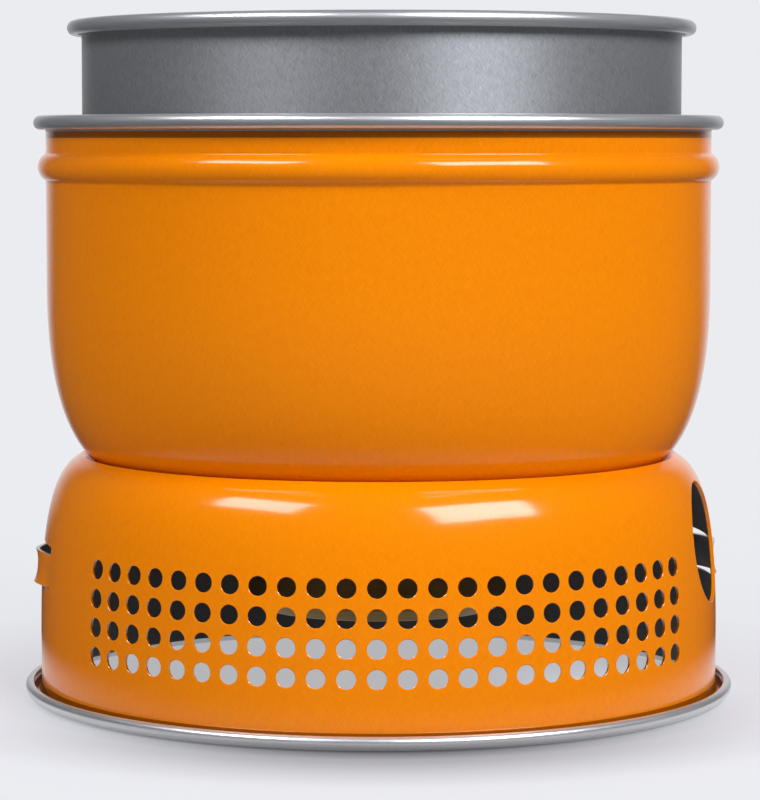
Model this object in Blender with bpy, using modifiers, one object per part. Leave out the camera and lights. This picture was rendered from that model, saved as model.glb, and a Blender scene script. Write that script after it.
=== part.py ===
# Storm cooker: two spun windshields, a saucepan on folding supports and a spirit burner.
# The origin is on the floor, on the cooker's axis. The vent grid faces -Y, and +Z is up.

import math

import bmesh
import bpy
from mathutils import Matrix

MM = 0.001

# Clearances and sheet
GAP = 0.3 * MM
SEAT_GAP = 0.5 * MM
WINDSHIELD_SHEET = 1.0 * MM
CUTTER_DEPTH = 14.0 * MM
FRONT = -90.0

# Rolled edge of the upper windshield and the saucepan: angles where its curl ends and begins
CURL_TAIL_ANGLE = -110.0
CURL_ROOT_ANGLE = 180.0
CURL_STEPS = 5

# Lower windshield: wall, shoulder, dish
LOWER_STEPS = 38
LOWER_WALL_RADIUS = 86.12 * MM
LOWER_HEIGHT = 60.93 * MM
SHOULDER_START = 14.7 * MM
SHOULDER_RISE = 22.6 * MM
SHOULDER_REACH = 11.9 * MM
SHOULDER_SPAN = 13.12 * MM
SHOULDER_STEPS = 8
CREST_WIDTH = 1.6 * MM
CREST_DROP = 0.6 * MM
DISH_DEPTH = 8.28 * MM
SEAT_STEPS = 20

# Lower windshield: rim that it stands on, turned out and up into a gutter with a curled lip
FOOT_RIM_OUT = 4.03 * MM
FOOT_RIM_HEIGHT = 3.55 * MM
FOOT_RIM_BEND = 0.6 * MM
FOOT_RIM_FLAT = 1.2 * MM
FOOT_RIM_CURL = 1.4 * MM
FOOT_RIM_PULL = 0.6 * MM
FOOT_RIM_END_ANGLE = 105.0
FOOT_RIM_STEPS = 3

# Lower windshield: holes
VENT_COLUMNS = 24
VENT_ROWS = 4
VENT_PITCH = 360.0 / 76
VENT_RADIUS = 2.3 * MM
VENT_SIDES = 8
VENT_ROW_PITCH = 7.0 * MM
VENT_TOP_HEIGHT = 37.33 * MM
HOSE_OPENING_RADIUS = 15.0 * MM
HOSE_OPENING_HEIGHT = 40.15 * MM
HOSE_OPENING_ANGLE = 74.0
AIR_HOLES = 12
AIR_HOLE_RADIUS = 3.0 * MM
AIR_HOLE_MARGIN = 1.0 * MM

# Lower windshield: strap loops, pressed out of the wall
LOOP_ANGLES = (-84.0, 94.5)
LOOP_HALF_ANGLE = 10.0
LOOP_HEIGHT = 33.15 * MM
LOOP_HALF_WIDTH = 4.15 * MM
LOOP_SLOT_ABOVE = 1.9 * MM
LOOP_SLOT_BELOW = 0.4 * MM
LOOP_STAND_OUT = 1.4 * MM
LOOP_FLARE = 0.75 * MM
LOOP_STRIP = 0.8 * MM
LOOP_WINDOW_MARGIN = 1.0

# Locking tongues of the lower windshield and their slots in the upper one
TONGUES = 3
TONGUE_ANGLE = 30.0
TONGUE_RADIUS = 51.0 * MM
TONGUE_WIDTH = 10.0 * MM
TONGUE_SHEET = 1.0 * MM
TONGUE_LIP = 3.0 * MM
TONGUE_PLAY = 1.0 * MM
TONGUE_LAND = 3.0 * MM
LOCKING_TURN = 13.0

# Upper windshield: wall, bowl, bead and rolled rim
UPPER_STEPS = 36
UPPER_WALL_RADIUS = 84.05 * MM
BOWL_HEIGHT = 50.25 * MM
BOWL_RISE = 28.8 * MM
BOWL_FLOOR_RADIUS = 55.3 * MM
BOWL_REACH = 22.8 * MM
BOWL_STEPS = 6
UPPER_HEIGHT = 93.05 * MM
UPPER_RIM_OUT = 3.05 * MM
UPPER_RIM_CURL = 1.75 * MM
BEAD_BELOW_TOP = 12.8 * MM
BEAD_OUT = 2.03 * MM
BEAD_HALF_WIDTH = 3.4 * MM

# Saucepan
PAN_STEPS = 36
FLUE_GAP = 8.4 * MM
PAN_HEIGHT = 67.0 * MM
PAN_SHEET = 1.0 * MM
PAN_CORNER = 9.0 * MM
PAN_RIM_OUT = 3.65 * MM
PAN_RIM_CURL = 1.8 * MM
PAN_OFF_CENTRE = 0.8 * MM

# Folding pan supports and the wire ring that they swing on
SUPPORTS = 3
SUPPORT_ANGLE = 60.0
SUPPORT_WIDTH = 14.0 * MM
SUPPORT_SHEET = 1.2 * MM
SUPPORT_ARM = 30.8 * MM
SUPPORT_FOOT = 18.0 * MM
SUPPORT_BEND = 2.0 * MM
RING_WIRE = 1.0 * MM
RING_SPLIT = 4.0 * MM
RING_RUN_OUT = 8.0 * MM
RING_PARTS = 9

# Spirit burner
BURNER_STEPS = 24
BURNER_RADIUS = 33.4 * MM
BURNER_SHEET = 0.8 * MM
BURNER_DEPTH = 31.55 * MM
BURNER_NECK_RADIUS = 30.0 * MM
BURNER_NECK_HEIGHT = 12.45 * MM
BURNER_COLLAR_RADIUS = 37.0 * MM
BURNER_COLLAR_HEIGHT = 1.25 * MM
BURNER_SHOULDER_HEIGHT = 2.95 * MM
BURNER_HOLE_PLAY = 0.6 * MM
BURNER_CORNER = 3.0 * MM
BURNER_WELL_RADIUS = 20.0 * MM
JETS = 24
JET_RADIUS = 0.75 * MM
WICK_HEIGHT = 35.0 * MM

# Simmer ring with its swinging cover
SIMMER_OPENING_RADIUS = 14.0 * MM
SIMMER_SHEET = 1.0 * MM
SIMMER_SKIRT = 7.4 * MM
COVER_SHEET = 0.8 * MM
COVER_OVERLAP = 1.5 * MM
COVER_EAR_RADIUS = 3.6 * MM
COVER_TAB_LENGTH = 22.0 * MM
COVER_TAB_WIDTH = 8.0 * MM
COVER_TAB_RISE = 6.5 * MM
RIVET_RADIUS = 1.2 * MM
RIVET_HEAD_RADIUS = 2.0 * MM
RIVET_HEAD = 0.8 * MM
RIVET_INSET = 2.6 * MM

# Places that follow from the sizes above
DISH_FLOOR = LOWER_HEIGHT - DISH_DEPTH
UPPER_FLOOR = DISH_FLOOR + SEAT_GAP
UPPER_TOP = UPPER_FLOOR + UPPER_HEIGHT
UPPER_MOUTH_RADIUS = TONGUE_RADIUS - TONGUE_SHEET / 2 - TONGUE_PLAY / 2 - TONGUE_LAND
BEAD_CENTRE = UPPER_TOP - BEAD_BELOW_TOP
UPPER_FACET = math.cos(math.pi / UPPER_STEPS)
UPPER_INNER_CLEAR = (UPPER_WALL_RADIUS - WINDSHIELD_SHEET) * UPPER_FACET
BEAD_INNER_CLEAR = (UPPER_WALL_RADIUS + BEAD_OUT - WINDSHIELD_SHEET) * UPPER_FACET
RING_RADIUS = BEAD_INNER_CLEAR - GAP - RING_WIRE
ARM_OUTER = math.sqrt((UPPER_INNER_CLEAR - GAP) ** 2 - (SUPPORT_WIDTH / 2) ** 2)
PIVOT_RADIUS = ARM_OUTER - SUPPORT_SHEET / 2
KNUCKLE_BORE = RING_WIRE + GAP
PAN_RADIUS = UPPER_WALL_RADIUS - FLUE_GAP
SUPPORT_TOP = BEAD_CENTRE - SUPPORT_ARM
PAN_BOTTOM = SUPPORT_TOP + GAP
COLLAR_BOTTOM = DISH_FLOOR + GAP
BURNER_BOTTOM = COLLAR_BOTTOM - BURNER_DEPTH
NECK_TOP = COLLAR_BOTTOM + BURNER_NECK_HEIGHT
JET_RING_BOTTOM = NECK_TOP + GAP
JET_RING_TOP = JET_RING_BOTTOM + BURNER_SHEET
SIMMER_BOTTOM = JET_RING_TOP + GAP
SIMMER_TOP = SIMMER_BOTTOM + SIMMER_SHEET
COVER_BOTTOM = SIMMER_TOP + GAP
COVER_TOP = COVER_BOTTOM + COVER_SHEET
COVER_PIVOT = SIMMER_OPENING_RADIUS + RIVET_INSET


# Outlines

def arc(centre, radius, start, end, steps):
    """Points (r, z) along an arc in equal steps, its angles in degrees."""
    points = []
    for index in range(steps + 1):
        angle = math.radians(start + (end - start) * index / steps)
        points.append((centre[0] + radius * math.cos(angle), centre[1] + radius * math.sin(angle)))
    return points


def bezier(controls, steps):
    """Points along a cubic Bezier curve, in equal steps of its parameter."""
    points = []
    for index in range(steps + 1):
        t = index / steps
        weights = ((1 - t) ** 3, 3 * t * (1 - t) ** 2, 3 * t * t * (1 - t), t**3)
        r = sum(w * p[0] for w, p in zip(weights, controls))
        z = sum(w * p[1] for w, p in zip(weights, controls))
        points.append((r, z))
    return points


def offset(points, distance):
    """An open outline moved sideways, to the left of its direction."""
    moved = []
    for index, (r, z) in enumerate(points):
        before = points[max(index - 1, 0)]
        after = points[min(index + 1, len(points) - 1)]
        dr, dz = after[0] - before[0], after[1] - before[1]
        length = math.hypot(dr, dz)
        moved.append((r - dz / length * distance, z + dr / length * distance))
    return moved


def radius_at(outline, height):
    """The radius of a falling outline at a height."""
    for (r0, z0), (r1, z1) in zip(outline, outline[1:]):
        if z0 >= height >= z1 and z0 > z1:
            return r0 + (r1 - r0) * (z0 - height) / (z0 - z1)
    raise ValueError("the outline doesn't reach that height")


def bowl_outline(steps):
    """The outside of the upper windshield's bowl, from its wall down to its floor."""
    return bezier(
        (
            (UPPER_WALL_RADIUS, UPPER_FLOOR + BOWL_HEIGHT),
            (UPPER_WALL_RADIUS, UPPER_FLOOR + BOWL_HEIGHT - BOWL_RISE),
            (BOWL_FLOOR_RADIUS + BOWL_REACH, UPPER_FLOOR),
            (BOWL_FLOOR_RADIUS, UPPER_FLOOR),
        ),
        steps,
    )


def shoulder_outline(inner_limit):
    """The lower windshield's outside from its crest down to its straight wall."""
    crest_end = LOWER_WALL_RADIUS - SHOULDER_SPAN
    points = bezier(
        (
            (crest_end, LOWER_HEIGHT),
            (crest_end + SHOULDER_REACH, LOWER_HEIGHT),
            (LOWER_WALL_RADIUS, SHOULDER_START + SHOULDER_RISE),
            (LOWER_WALL_RADIUS, SHOULDER_START),
        ),
        SHOULDER_STEPS,
    )
    return [point for point in points if point[0] > inner_limit]


def foot_rim_outline():
    """The bend under the wall, the flat ring to stand on, and the lip curled outside it."""
    bend = arc(
        (LOWER_WALL_RADIUS + FOOT_RIM_BEND, WINDSHIELD_SHEET + FOOT_RIM_BEND),
        FOOT_RIM_BEND,
        180,
        270,
        FOOT_RIM_STEPS,
    )
    lip_centre = (
        LOWER_WALL_RADIUS + FOOT_RIM_OUT - FOOT_RIM_CURL,
        FOOT_RIM_HEIGHT - FOOT_RIM_CURL,
    )
    lip_inside = FOOT_RIM_CURL - WINDSHIELD_SHEET
    lip = arc(lip_centre, lip_inside, 0, FOOT_RIM_END_ANGLE, FOOT_RIM_STEPS)
    flat_end = (bend[-1][0] + FOOT_RIM_FLAT, WINDSHIELD_SHEET)
    side = bezier(
        (
            flat_end,
            (flat_end[0] + FOOT_RIM_PULL, flat_end[1]),
            (lip[0][0], lip[0][1] - FOOT_RIM_PULL),
            lip[0],
        ),
        FOOT_RIM_STEPS,
    )
    return bend + side[:-1] + lip


def lower_outline():
    """The lower windshield's upper and outer face, from the burner hole to the rolled rim."""
    seat = offset(bowl_outline(SEAT_STEPS), SEAT_GAP)
    seat = [point for point in seat if point[1] < LOWER_HEIGHT - CREST_DROP]
    dish = [seat[index] for index in (0, len(seat) // 3, 2 * len(seat) // 3)]
    floor_corner = (seat[-1][0], DISH_FLOOR)
    hole_edge = (BURNER_RADIUS + BURNER_HOLE_PLAY, DISH_FLOOR)
    crest = (seat[0][0] + CREST_WIDTH, LOWER_HEIGHT)
    rim = foot_rim_outline()
    return (
        [hole_edge, floor_corner]
        + dish[::-1]
        + [(seat[0][0] + CREST_WIDTH / 3, LOWER_HEIGHT - CREST_DROP / 3), crest]
        + shoulder_outline(crest[0] + CREST_WIDTH / 2)
        + rim
    )


def upper_outline():
    """The upper windshield's outer face, from the tail of its rolled rim down to its mouth."""
    curl_radius = UPPER_WALL_RADIUS + UPPER_RIM_OUT - UPPER_RIM_CURL
    curl_centre = (curl_radius, UPPER_TOP - UPPER_RIM_CURL)
    tail, root = CURL_TAIL_ANGLE, CURL_ROOT_ANGLE
    curl = arc(curl_centre, UPPER_RIM_CURL - WINDSHIELD_SHEET, tail, root, CURL_STEPS)
    bead_radius = (BEAD_HALF_WIDTH**2 + BEAD_OUT**2) / (2 * BEAD_OUT)
    bead_angle = math.degrees(math.asin(BEAD_HALF_WIDTH / bead_radius))
    bead_centre = (UPPER_WALL_RADIUS + BEAD_OUT - bead_radius, BEAD_CENTRE)
    bead = arc(bead_centre, bead_radius, bead_angle, -bead_angle, 4)
    neck = (UPPER_WALL_RADIUS, curl_centre[1] - 2 * UPPER_RIM_CURL)
    mouth = (UPPER_MOUTH_RADIUS, UPPER_FLOOR)
    return curl + [neck] + bead + bowl_outline(BOWL_STEPS) + [mouth]


def pan_outline():
    """The saucepan's outer face, from the tail of its rolled rim down to the middle of its floor."""
    top = PAN_BOTTOM + PAN_HEIGHT
    curl_centre = (PAN_RADIUS + PAN_RIM_OUT - PAN_RIM_CURL, top - PAN_RIM_CURL)
    curl = arc(curl_centre, PAN_RIM_CURL - PAN_SHEET, CURL_TAIL_ANGLE, CURL_ROOT_ANGLE, CURL_STEPS)
    neck = (PAN_RADIUS, curl_centre[1] - 2 * PAN_RIM_CURL)
    corner_centre = (PAN_RADIUS - PAN_CORNER, PAN_BOTTOM + PAN_CORNER)
    corner = arc(corner_centre, PAN_CORNER, 0, -90, 3)
    return curl + [neck] + corner + [(0.0, PAN_BOTTOM)]


# Building helpers

def make_collection(name, hidden):
    found = bpy.data.collections.new(name)
    found.hide_render = hidden
    bpy.context.scene.collection.children.link(found)
    return found


def make_material(name, colour, roughness, metallic):
    material = bpy.data.materials.new(name)
    material.use_nodes = True
    shader = material.node_tree.nodes["Principled BSDF"]
    shader.inputs["Base Color"].default_value = (*colour, 1.0)
    shader.inputs["Roughness"].default_value = roughness
    shader.inputs["Metallic"].default_value = metallic
    return material


def make_object(name, data, collection, material=None):
    made = bpy.data.objects.new(name, data)
    collection.objects.link(made)
    if material:
        data.materials.append(material)
    return made


def turned(name, outline, steps, collection, material, sheet=0.0):
    """An outline turned round Z: a sheet, or a solid whose outline closes on itself or on the axis."""
    on_axis = outline[0][0] == 0.0 and outline[-1][0] == 0.0
    count = len(outline)
    edges = [(index, index + 1) for index in range(count - 1)]
    if sheet == 0.0 and not on_axis:
        edges.append((count - 1, 0))
    mesh = bpy.data.meshes.new(name)
    mesh.from_pydata([(r, 0.0, z) for r, z in outline], edges, [])
    made = make_object(name, mesh, collection, material)
    screw = made.modifiers.new("turn", "SCREW")
    screw.steps = steps
    screw.render_steps = steps
    screw.use_merge_vertices = True
    screw.merge_threshold = 0.00001
    screw.use_smooth_shade = True
    if sheet:
        solidify = made.modifiers.new("sheet", "SOLIDIFY")
        solidify.thickness = sheet
        solidify.offset = -1.0
        solidify.use_even_offset = True
    return made


def plate(name, outlines, thickness, placing, collection, material=None):
    """A flat outline, with any holes, given its thickness along the local Z."""
    curve = bpy.data.curves.new(name, "CURVE")
    curve.dimensions = "2D"
    curve.fill_mode = "BOTH"
    curve.extrude = thickness / 2
    for outline in outlines:
        spline = curve.splines.new("POLY")
        spline.points.add(len(outline) - 1)
        for point, (x, y) in zip(spline.points, outline):
            point.co = (x, y, 0.0, 1.0)
        spline.use_cyclic_u = True
    made = make_object(name, curve, collection, material)
    made.matrix_world = placing
    return made


def as_mesh(source):
    """The same object as one closed mesh, for a Boolean."""
    bpy.context.view_layer.update()
    evaluated = source.evaluated_get(bpy.context.evaluated_depsgraph_get())
    mesh = bpy.data.meshes.new_from_object(evaluated)
    build = bmesh.new()
    build.from_mesh(mesh)
    bmesh.ops.remove_doubles(build, verts=build.verts, dist=0.000001)
    build.to_mesh(mesh)
    build.free()
    collection = source.users_collection[0]
    made = bpy.data.objects.new(source.name + "_mesh", mesh)
    made.matrix_world = source.matrix_world
    collection.objects.link(made)
    bpy.data.objects.remove(source)
    return made


def mesh_object(name, build, collection, material=None):
    mesh = bpy.data.meshes.new(name)
    build.to_mesh(mesh)
    build.free()
    return make_object(name, mesh, collection, material)


def add_cylinder(build, radius, depth, sides, placing):
    bmesh.ops.create_cone(
        build,
        cap_ends=True,
        segments=sides,
        radius1=radius,
        radius2=radius,
        depth=depth,
        matrix=placing,
    )


def add_box(build, size, placing):
    scaling = Matrix.Diagonal((*size, 1.0))
    bmesh.ops.create_cube(build, size=1.0, matrix=placing @ scaling)


def turn_to(angle):
    """A turn about Z that brings +X to an angle counted from the front, towards +X."""
    return Matrix.Rotation(math.radians(FRONT + angle), 4, "Z")


def on_wall(angle, radius, height):
    """A place on a wall: local Z points outward and local Y along the wall."""
    return turn_to(angle) @ Matrix.Translation((radius, 0.0, height)) @ Matrix.Rotation(math.pi / 2, 4, "Y")


def cut_or_join(target, other, operation, hidden):
    boolean = target.modifiers.new(other.name, "BOOLEAN")
    boolean.operation = operation
    boolean.solver = "EXACT"
    boolean.object = other
    for collection in other.users_collection:
        collection.objects.unlink(other)
    hidden.objects.link(other)
    other.hide_render = True
    other.display_type = "WIRE"


def move_mesh(made, placing):
    """Moves an object's origin to a place and leaves its surface where it was."""
    made.data.transform(placing.inverted())
    made.matrix_world = placing


# Lower windshield

def lower_cutters(hidden):
    """Vents, hose opening, loop windows and air holes, all apart from one another."""
    build = bmesh.new()
    for column in range(VENT_COLUMNS):
        angle = (column - (VENT_COLUMNS - 1) / 2) * VENT_PITCH
        for row in range(VENT_ROWS):
            height = VENT_TOP_HEIGHT - row * VENT_ROW_PITCH
            placing = on_wall(angle, LOWER_WALL_RADIUS, height)
            add_cylinder(build, VENT_RADIUS, CUTTER_DEPTH, VENT_SIDES, placing)
    hose = on_wall(HOSE_OPENING_ANGLE, LOWER_WALL_RADIUS, HOSE_OPENING_HEIGHT)
    add_cylinder(build, HOSE_OPENING_RADIUS, CUTTER_DEPTH, 24, hose)
    window_half_angle = math.radians(LOOP_HALF_ANGLE - LOOP_WINDOW_MARGIN)
    window_width = 2 * LOWER_WALL_RADIUS * math.sin(window_half_angle)
    window_rise = 2 * LOOP_HALF_WIDTH + LOOP_SLOT_ABOVE + LOOP_SLOT_BELOW
    window_height = LOOP_HEIGHT + (LOOP_SLOT_ABOVE - LOOP_SLOT_BELOW) / 2
    for angle in LOOP_ANGLES:
        window = (window_rise, window_width, CUTTER_DEPTH)
        add_box(build, window, on_wall(angle, LOWER_WALL_RADIUS, window_height))
    air_ring = BURNER_COLLAR_RADIUS + AIR_HOLE_MARGIN + AIR_HOLE_RADIUS
    for index in range(AIR_HOLES):
        placing = turn_to(360 * index / AIR_HOLES) @ Matrix.Translation((air_ring, 0.0, DISH_FLOOR))
        add_cylinder(build, AIR_HOLE_RADIUS, 4 * WINDSHIELD_SHEET, 8, placing)
    return mesh_object("lower_cutters", build, hidden)


def strap_loops(outline, hidden):
    """Two strips bowed out over their windows, with both edges flared."""
    build = bmesh.new()
    for angle in LOOP_ANGLES:
        grid = bmesh.ops.create_grid(build, x_segments=12, y_segments=4, size=1.0)
        for vertex in grid["verts"]:
            across, up = vertex.co.x, vertex.co.y
            height = LOOP_HEIGHT + up * LOOP_HALF_WIDTH
            bow = math.cos(across * math.pi / 2) ** 2
            lift = bow * (LOOP_STAND_OUT + LOOP_FLARE * abs(up) ** 3)
            radius = radius_at(outline, height) - WINDSHIELD_SHEET / 2 + lift
            turn = turn_to(angle + across * LOOP_HALF_ANGLE)
            vertex.co = turn @ Matrix.Translation((radius, 0.0, height)).to_translation()
    made = mesh_object("strap_loops", build, hidden)
    solidify = made.modifiers.new("strip", "SOLIDIFY")
    solidify.thickness = LOOP_STRIP
    solidify.offset = 0.0
    return made


def tongues(hidden):
    """Bent tongues that stand on the dish and reach through the upper windshield's slots."""
    half = TONGUE_SHEET / 2
    lip_bottom = UPPER_FLOOR + WINDSHIELD_SHEET + TONGUE_PLAY
    lip_top = lip_bottom + TONGUE_SHEET
    root = DISH_FLOOR - WINDSHIELD_SHEET / 2
    outline = [
        (TONGUE_RADIUS - half, root),
        (TONGUE_RADIUS + half, root),
        (TONGUE_RADIUS + half, lip_bottom),
        (TONGUE_RADIUS + half + TONGUE_LIP, lip_bottom),
        (TONGUE_RADIUS + half + TONGUE_LIP, lip_top),
        (TONGUE_RADIUS - half, lip_top),
    ]
    made = []
    for index in range(TONGUES):
        upright = turn_to(TONGUE_ANGLE + 360 * index / TONGUES) @ Matrix.Rotation(math.pi / 2, 4, "X")
        piece = plate(f"tongue_{index + 1}", [outline], TONGUE_WIDTH, upright, hidden)
        made.append(as_mesh(piece))
    return made


def lower_windshield(collection, hidden, material):
    outline = lower_outline()
    made = turned("lower_windshield", outline, LOWER_STEPS, collection, material, WINDSHIELD_SHEET)
    cut_or_join(made, lower_cutters(hidden), "DIFFERENCE", hidden)
    cut_or_join(made, strap_loops(outline, hidden), "UNION", hidden)
    for piece in tongues(hidden):
        cut_or_join(made, piece, "UNION", hidden)
    return made


# Upper windshield

def slot_cutters(name, inner, outer, start, end, hidden):
    """Straight slots through the bowl's floor, one for each tongue."""
    build = bmesh.new()
    size = (outer - inner, end - start, 4 * WINDSHIELD_SHEET)
    for index in range(TONGUES):
        turn = turn_to(TONGUE_ANGLE + 360 * index / TONGUES)
        middle = Matrix.Translation(((inner + outer) / 2, (start + end) / 2, UPPER_FLOOR))
        add_box(build, size, turn @ middle)
    return mesh_object(name, build, hidden)


def upper_windshield(collection, hidden, material):
    made = turned("upper_windshield", upper_outline(), UPPER_STEPS, collection, material, WINDSHIELD_SHEET)
    half = TONGUE_SHEET / 2 + TONGUE_PLAY / 2
    side = TONGUE_WIDTH / 2 + TONGUE_PLAY
    turn_length = TONGUE_RADIUS * math.radians(LOCKING_TURN)
    lip_reach = TONGUE_RADIUS + TONGUE_SHEET / 2 + TONGUE_LIP + TONGUE_PLAY
    lock_end = side + turn_length
    inner, outer = TONGUE_RADIUS - half, TONGUE_RADIUS + half
    entry = slot_cutters("entry_slots", inner, lip_reach, -side, side, hidden)
    cut_or_join(made, entry, "DIFFERENCE", hidden)
    lock = slot_cutters("lock_slots", inner, outer, side - GAP, lock_end, hidden)
    cut_or_join(made, lock, "DIFFERENCE", hidden)
    return made


def support_ring(collection, material):
    """A split wire ring sprung into the bead, with a straight stretch for each support."""
    straight = SUPPORT_WIDTH / 2 + 2 * GAP
    stretch = []
    for along in (-straight - RING_RUN_OUT, -straight, straight, straight + RING_RUN_OUT):
        if abs(along) > straight:
            across = math.sqrt(RING_RADIUS**2 - along**2)
        else:
            across = PIVOT_RADIUS
        stretch.append((math.degrees(math.atan2(along, across)), math.hypot(across, along)))
    split = math.degrees(RING_SPLIT / RING_RADIUS)
    polar = []
    for index in range(SUPPORTS):
        station = SUPPORT_ANGLE + 360 * index / SUPPORTS
        polar += [(station + angle, radius) for angle, radius in stretch]
        start = station + stretch[-1][0]
        end = station + 360 / SUPPORTS + stretch[0][0]
        if index == SUPPORTS - 1:
            end = (start + end - split) / 2
            polar += [(start + (end - start) * step / 4, RING_RADIUS) for step in range(1, 5)]
        else:
            pitch = (end - start) / RING_PARTS
            polar += [(start + pitch * step, RING_RADIUS) for step in range(1, RING_PARTS)]
    first_end = polar[0][0]
    lead_start = polar[-1][0] + split - 360
    lead = [(lead_start + (first_end - lead_start) * step / 4, RING_RADIUS) for step in range(4)]
    curve = bpy.data.curves.new("support_ring", "CURVE")
    curve.dimensions = "3D"
    curve.bevel_depth = RING_WIRE
    curve.bevel_resolution = 1
    curve.use_fill_caps = True
    spline = curve.splines.new("POLY")
    points = lead + polar
    spline.points.add(len(points) - 1)
    for point, (angle, radius) in zip(spline.points, points):
        turn = math.radians(FRONT + angle)
        point.co = (radius * math.cos(turn), radius * math.sin(turn), BEAD_CENTRE, 1.0)
    return make_object("support_ring", curve, collection, material)


def support_outline():
    """One support seen along its wire, the wire at (0, 0) and the inside of the cooker at -X."""
    half = SUPPORT_SHEET / 2
    outer = KNUCKLE_BORE + SUPPORT_SHEET
    open_angle = math.degrees(math.asin(half / outer))
    knuckle = arc((0.0, 0.0), outer, -90 + open_angle, 270 - open_angle, 12)
    foot_top = -SUPPORT_ARM
    foot_bottom = foot_top - SUPPORT_SHEET
    tip = -half - SUPPORT_FOOT
    bend = arc((half - SUPPORT_BEND, foot_bottom + SUPPORT_BEND), SUPPORT_BEND, -90, 0, 2)
    return knuckle + [(-half, foot_top), (tip, foot_top), (tip, foot_bottom)] + bend


def pan_support(index, collection, material):
    angle = SUPPORT_ANGLE + 360 * index / SUPPORTS
    pivot = turn_to(angle) @ Matrix.Translation((PIVOT_RADIUS, 0.0, BEAD_CENTRE))
    upright = pivot @ Matrix.Rotation(math.pi / 2, 4, "X")
    bore = arc((0.0, 0.0), KNUCKLE_BORE, 0, 330, 11)
    name = f"pan_support_{index + 1}"
    return plate(name, [support_outline(), bore], SUPPORT_WIDTH, upright, collection, material)


# Saucepan

def saucepan(collection, material):
    made = turned("saucepan", pan_outline(), PAN_STEPS, collection, material, PAN_SHEET)
    made.location.x = PAN_OFF_CENTRE
    return made


# Spirit burner

def burner_body(collection, material):
    """The outer brass cup: a threaded neck over a collar that hangs in the dish's hole."""
    collar_top = COLLAR_BOTTOM + BURNER_COLLAR_HEIGHT
    shoulder = COLLAR_BOTTOM + BURNER_SHOULDER_HEIGHT
    corner = BURNER_BOTTOM + BURNER_CORNER
    inner_radius = BURNER_RADIUS - BURNER_SHEET
    inner_neck = BURNER_NECK_RADIUS - BURNER_SHEET
    outline = [
        (0.0, BURNER_BOTTOM + BURNER_SHEET),
        (inner_radius - BURNER_CORNER, BURNER_BOTTOM + BURNER_SHEET),
        (inner_radius, corner + BURNER_SHEET),
        (inner_radius, COLLAR_BOTTOM - BURNER_SHEET),
        (inner_neck, shoulder - BURNER_SHEET / 2),
        (inner_neck, NECK_TOP),
        (BURNER_NECK_RADIUS, NECK_TOP),
        (BURNER_NECK_RADIUS, shoulder),
        (BURNER_COLLAR_RADIUS, collar_top),
        (BURNER_COLLAR_RADIUS, COLLAR_BOTTOM),
        (BURNER_RADIUS, COLLAR_BOTTOM),
        (BURNER_RADIUS, corner),
        (BURNER_RADIUS - BURNER_CORNER, BURNER_BOTTOM),
        (0.0, BURNER_BOTTOM),
    ]
    return turned("burner_body", outline, BURNER_STEPS, collection, material)


def burner_jet_ring(collection, hidden, material):
    """The inner wall of the burner, with a flange of flame jets over the neck."""
    well_inner = BURNER_WELL_RADIUS - BURNER_SHEET
    bottom = BURNER_BOTTOM + BURNER_SHEET + GAP
    outline = [
        (well_inner, JET_RING_TOP),
        (BURNER_NECK_RADIUS, JET_RING_TOP),
        (BURNER_NECK_RADIUS, JET_RING_BOTTOM),
        (BURNER_WELL_RADIUS, JET_RING_BOTTOM),
        (BURNER_WELL_RADIUS, bottom),
        (well_inner, bottom),
    ]
    made = turned("burner_jet_ring", outline, BURNER_STEPS, collection, material)
    build = bmesh.new()
    jet_circle = (BURNER_WELL_RADIUS + BURNER_NECK_RADIUS) / 2
    for index in range(JETS):
        turn = turn_to(360 * (index + 0.5) / JETS)
        placing = turn @ Matrix.Translation((jet_circle, 0.0, JET_RING_BOTTOM))
        add_cylinder(build, JET_RADIUS, 4 * BURNER_SHEET, 6, placing)
    cut_or_join(made, mesh_object("jets", build, hidden), "DIFFERENCE", hidden)
    return made


def burner_wick(collection, material):
    bottom = BURNER_BOTTOM + BURNER_SHEET + GAP
    inner = BURNER_WELL_RADIUS + GAP
    outer = BURNER_NECK_RADIUS - BURNER_SHEET - GAP
    top = bottom + WICK_HEIGHT
    outline = [(inner, top), (outer, top), (outer, bottom), (inner, bottom)]
    return turned("burner_wick", outline, BURNER_STEPS, collection, material)


def rivet_hole(name, depth, hidden):
    build = bmesh.new()
    placing = Matrix.Translation((COVER_PIVOT, 0.0, SIMMER_TOP))
    add_cylinder(build, RIVET_RADIUS + GAP, depth, 12, placing)
    return mesh_object(name, build, hidden)


def simmer_ring(collection, hidden, material):
    """A cap over the jets that leaves only the burner's well open."""
    skirt_inner = BURNER_NECK_RADIUS + GAP
    skirt_outer = skirt_inner + SIMMER_SHEET
    skirt_bottom = SIMMER_TOP - SIMMER_SKIRT
    outline = [
        (SIMMER_OPENING_RADIUS, SIMMER_TOP),
        (skirt_outer, SIMMER_TOP),
        (skirt_outer, skirt_bottom),
        (skirt_inner, skirt_bottom),
        (skirt_inner, SIMMER_BOTTOM),
        (SIMMER_OPENING_RADIUS, SIMMER_BOTTOM),
    ]
    made = turned("simmer_ring", outline, BURNER_STEPS, collection, material)
    cut_or_join(made, rivet_hole("ring_rivet_hole", 4 * SIMMER_SHEET, hidden), "DIFFERENCE", hidden)
    return made


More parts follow.
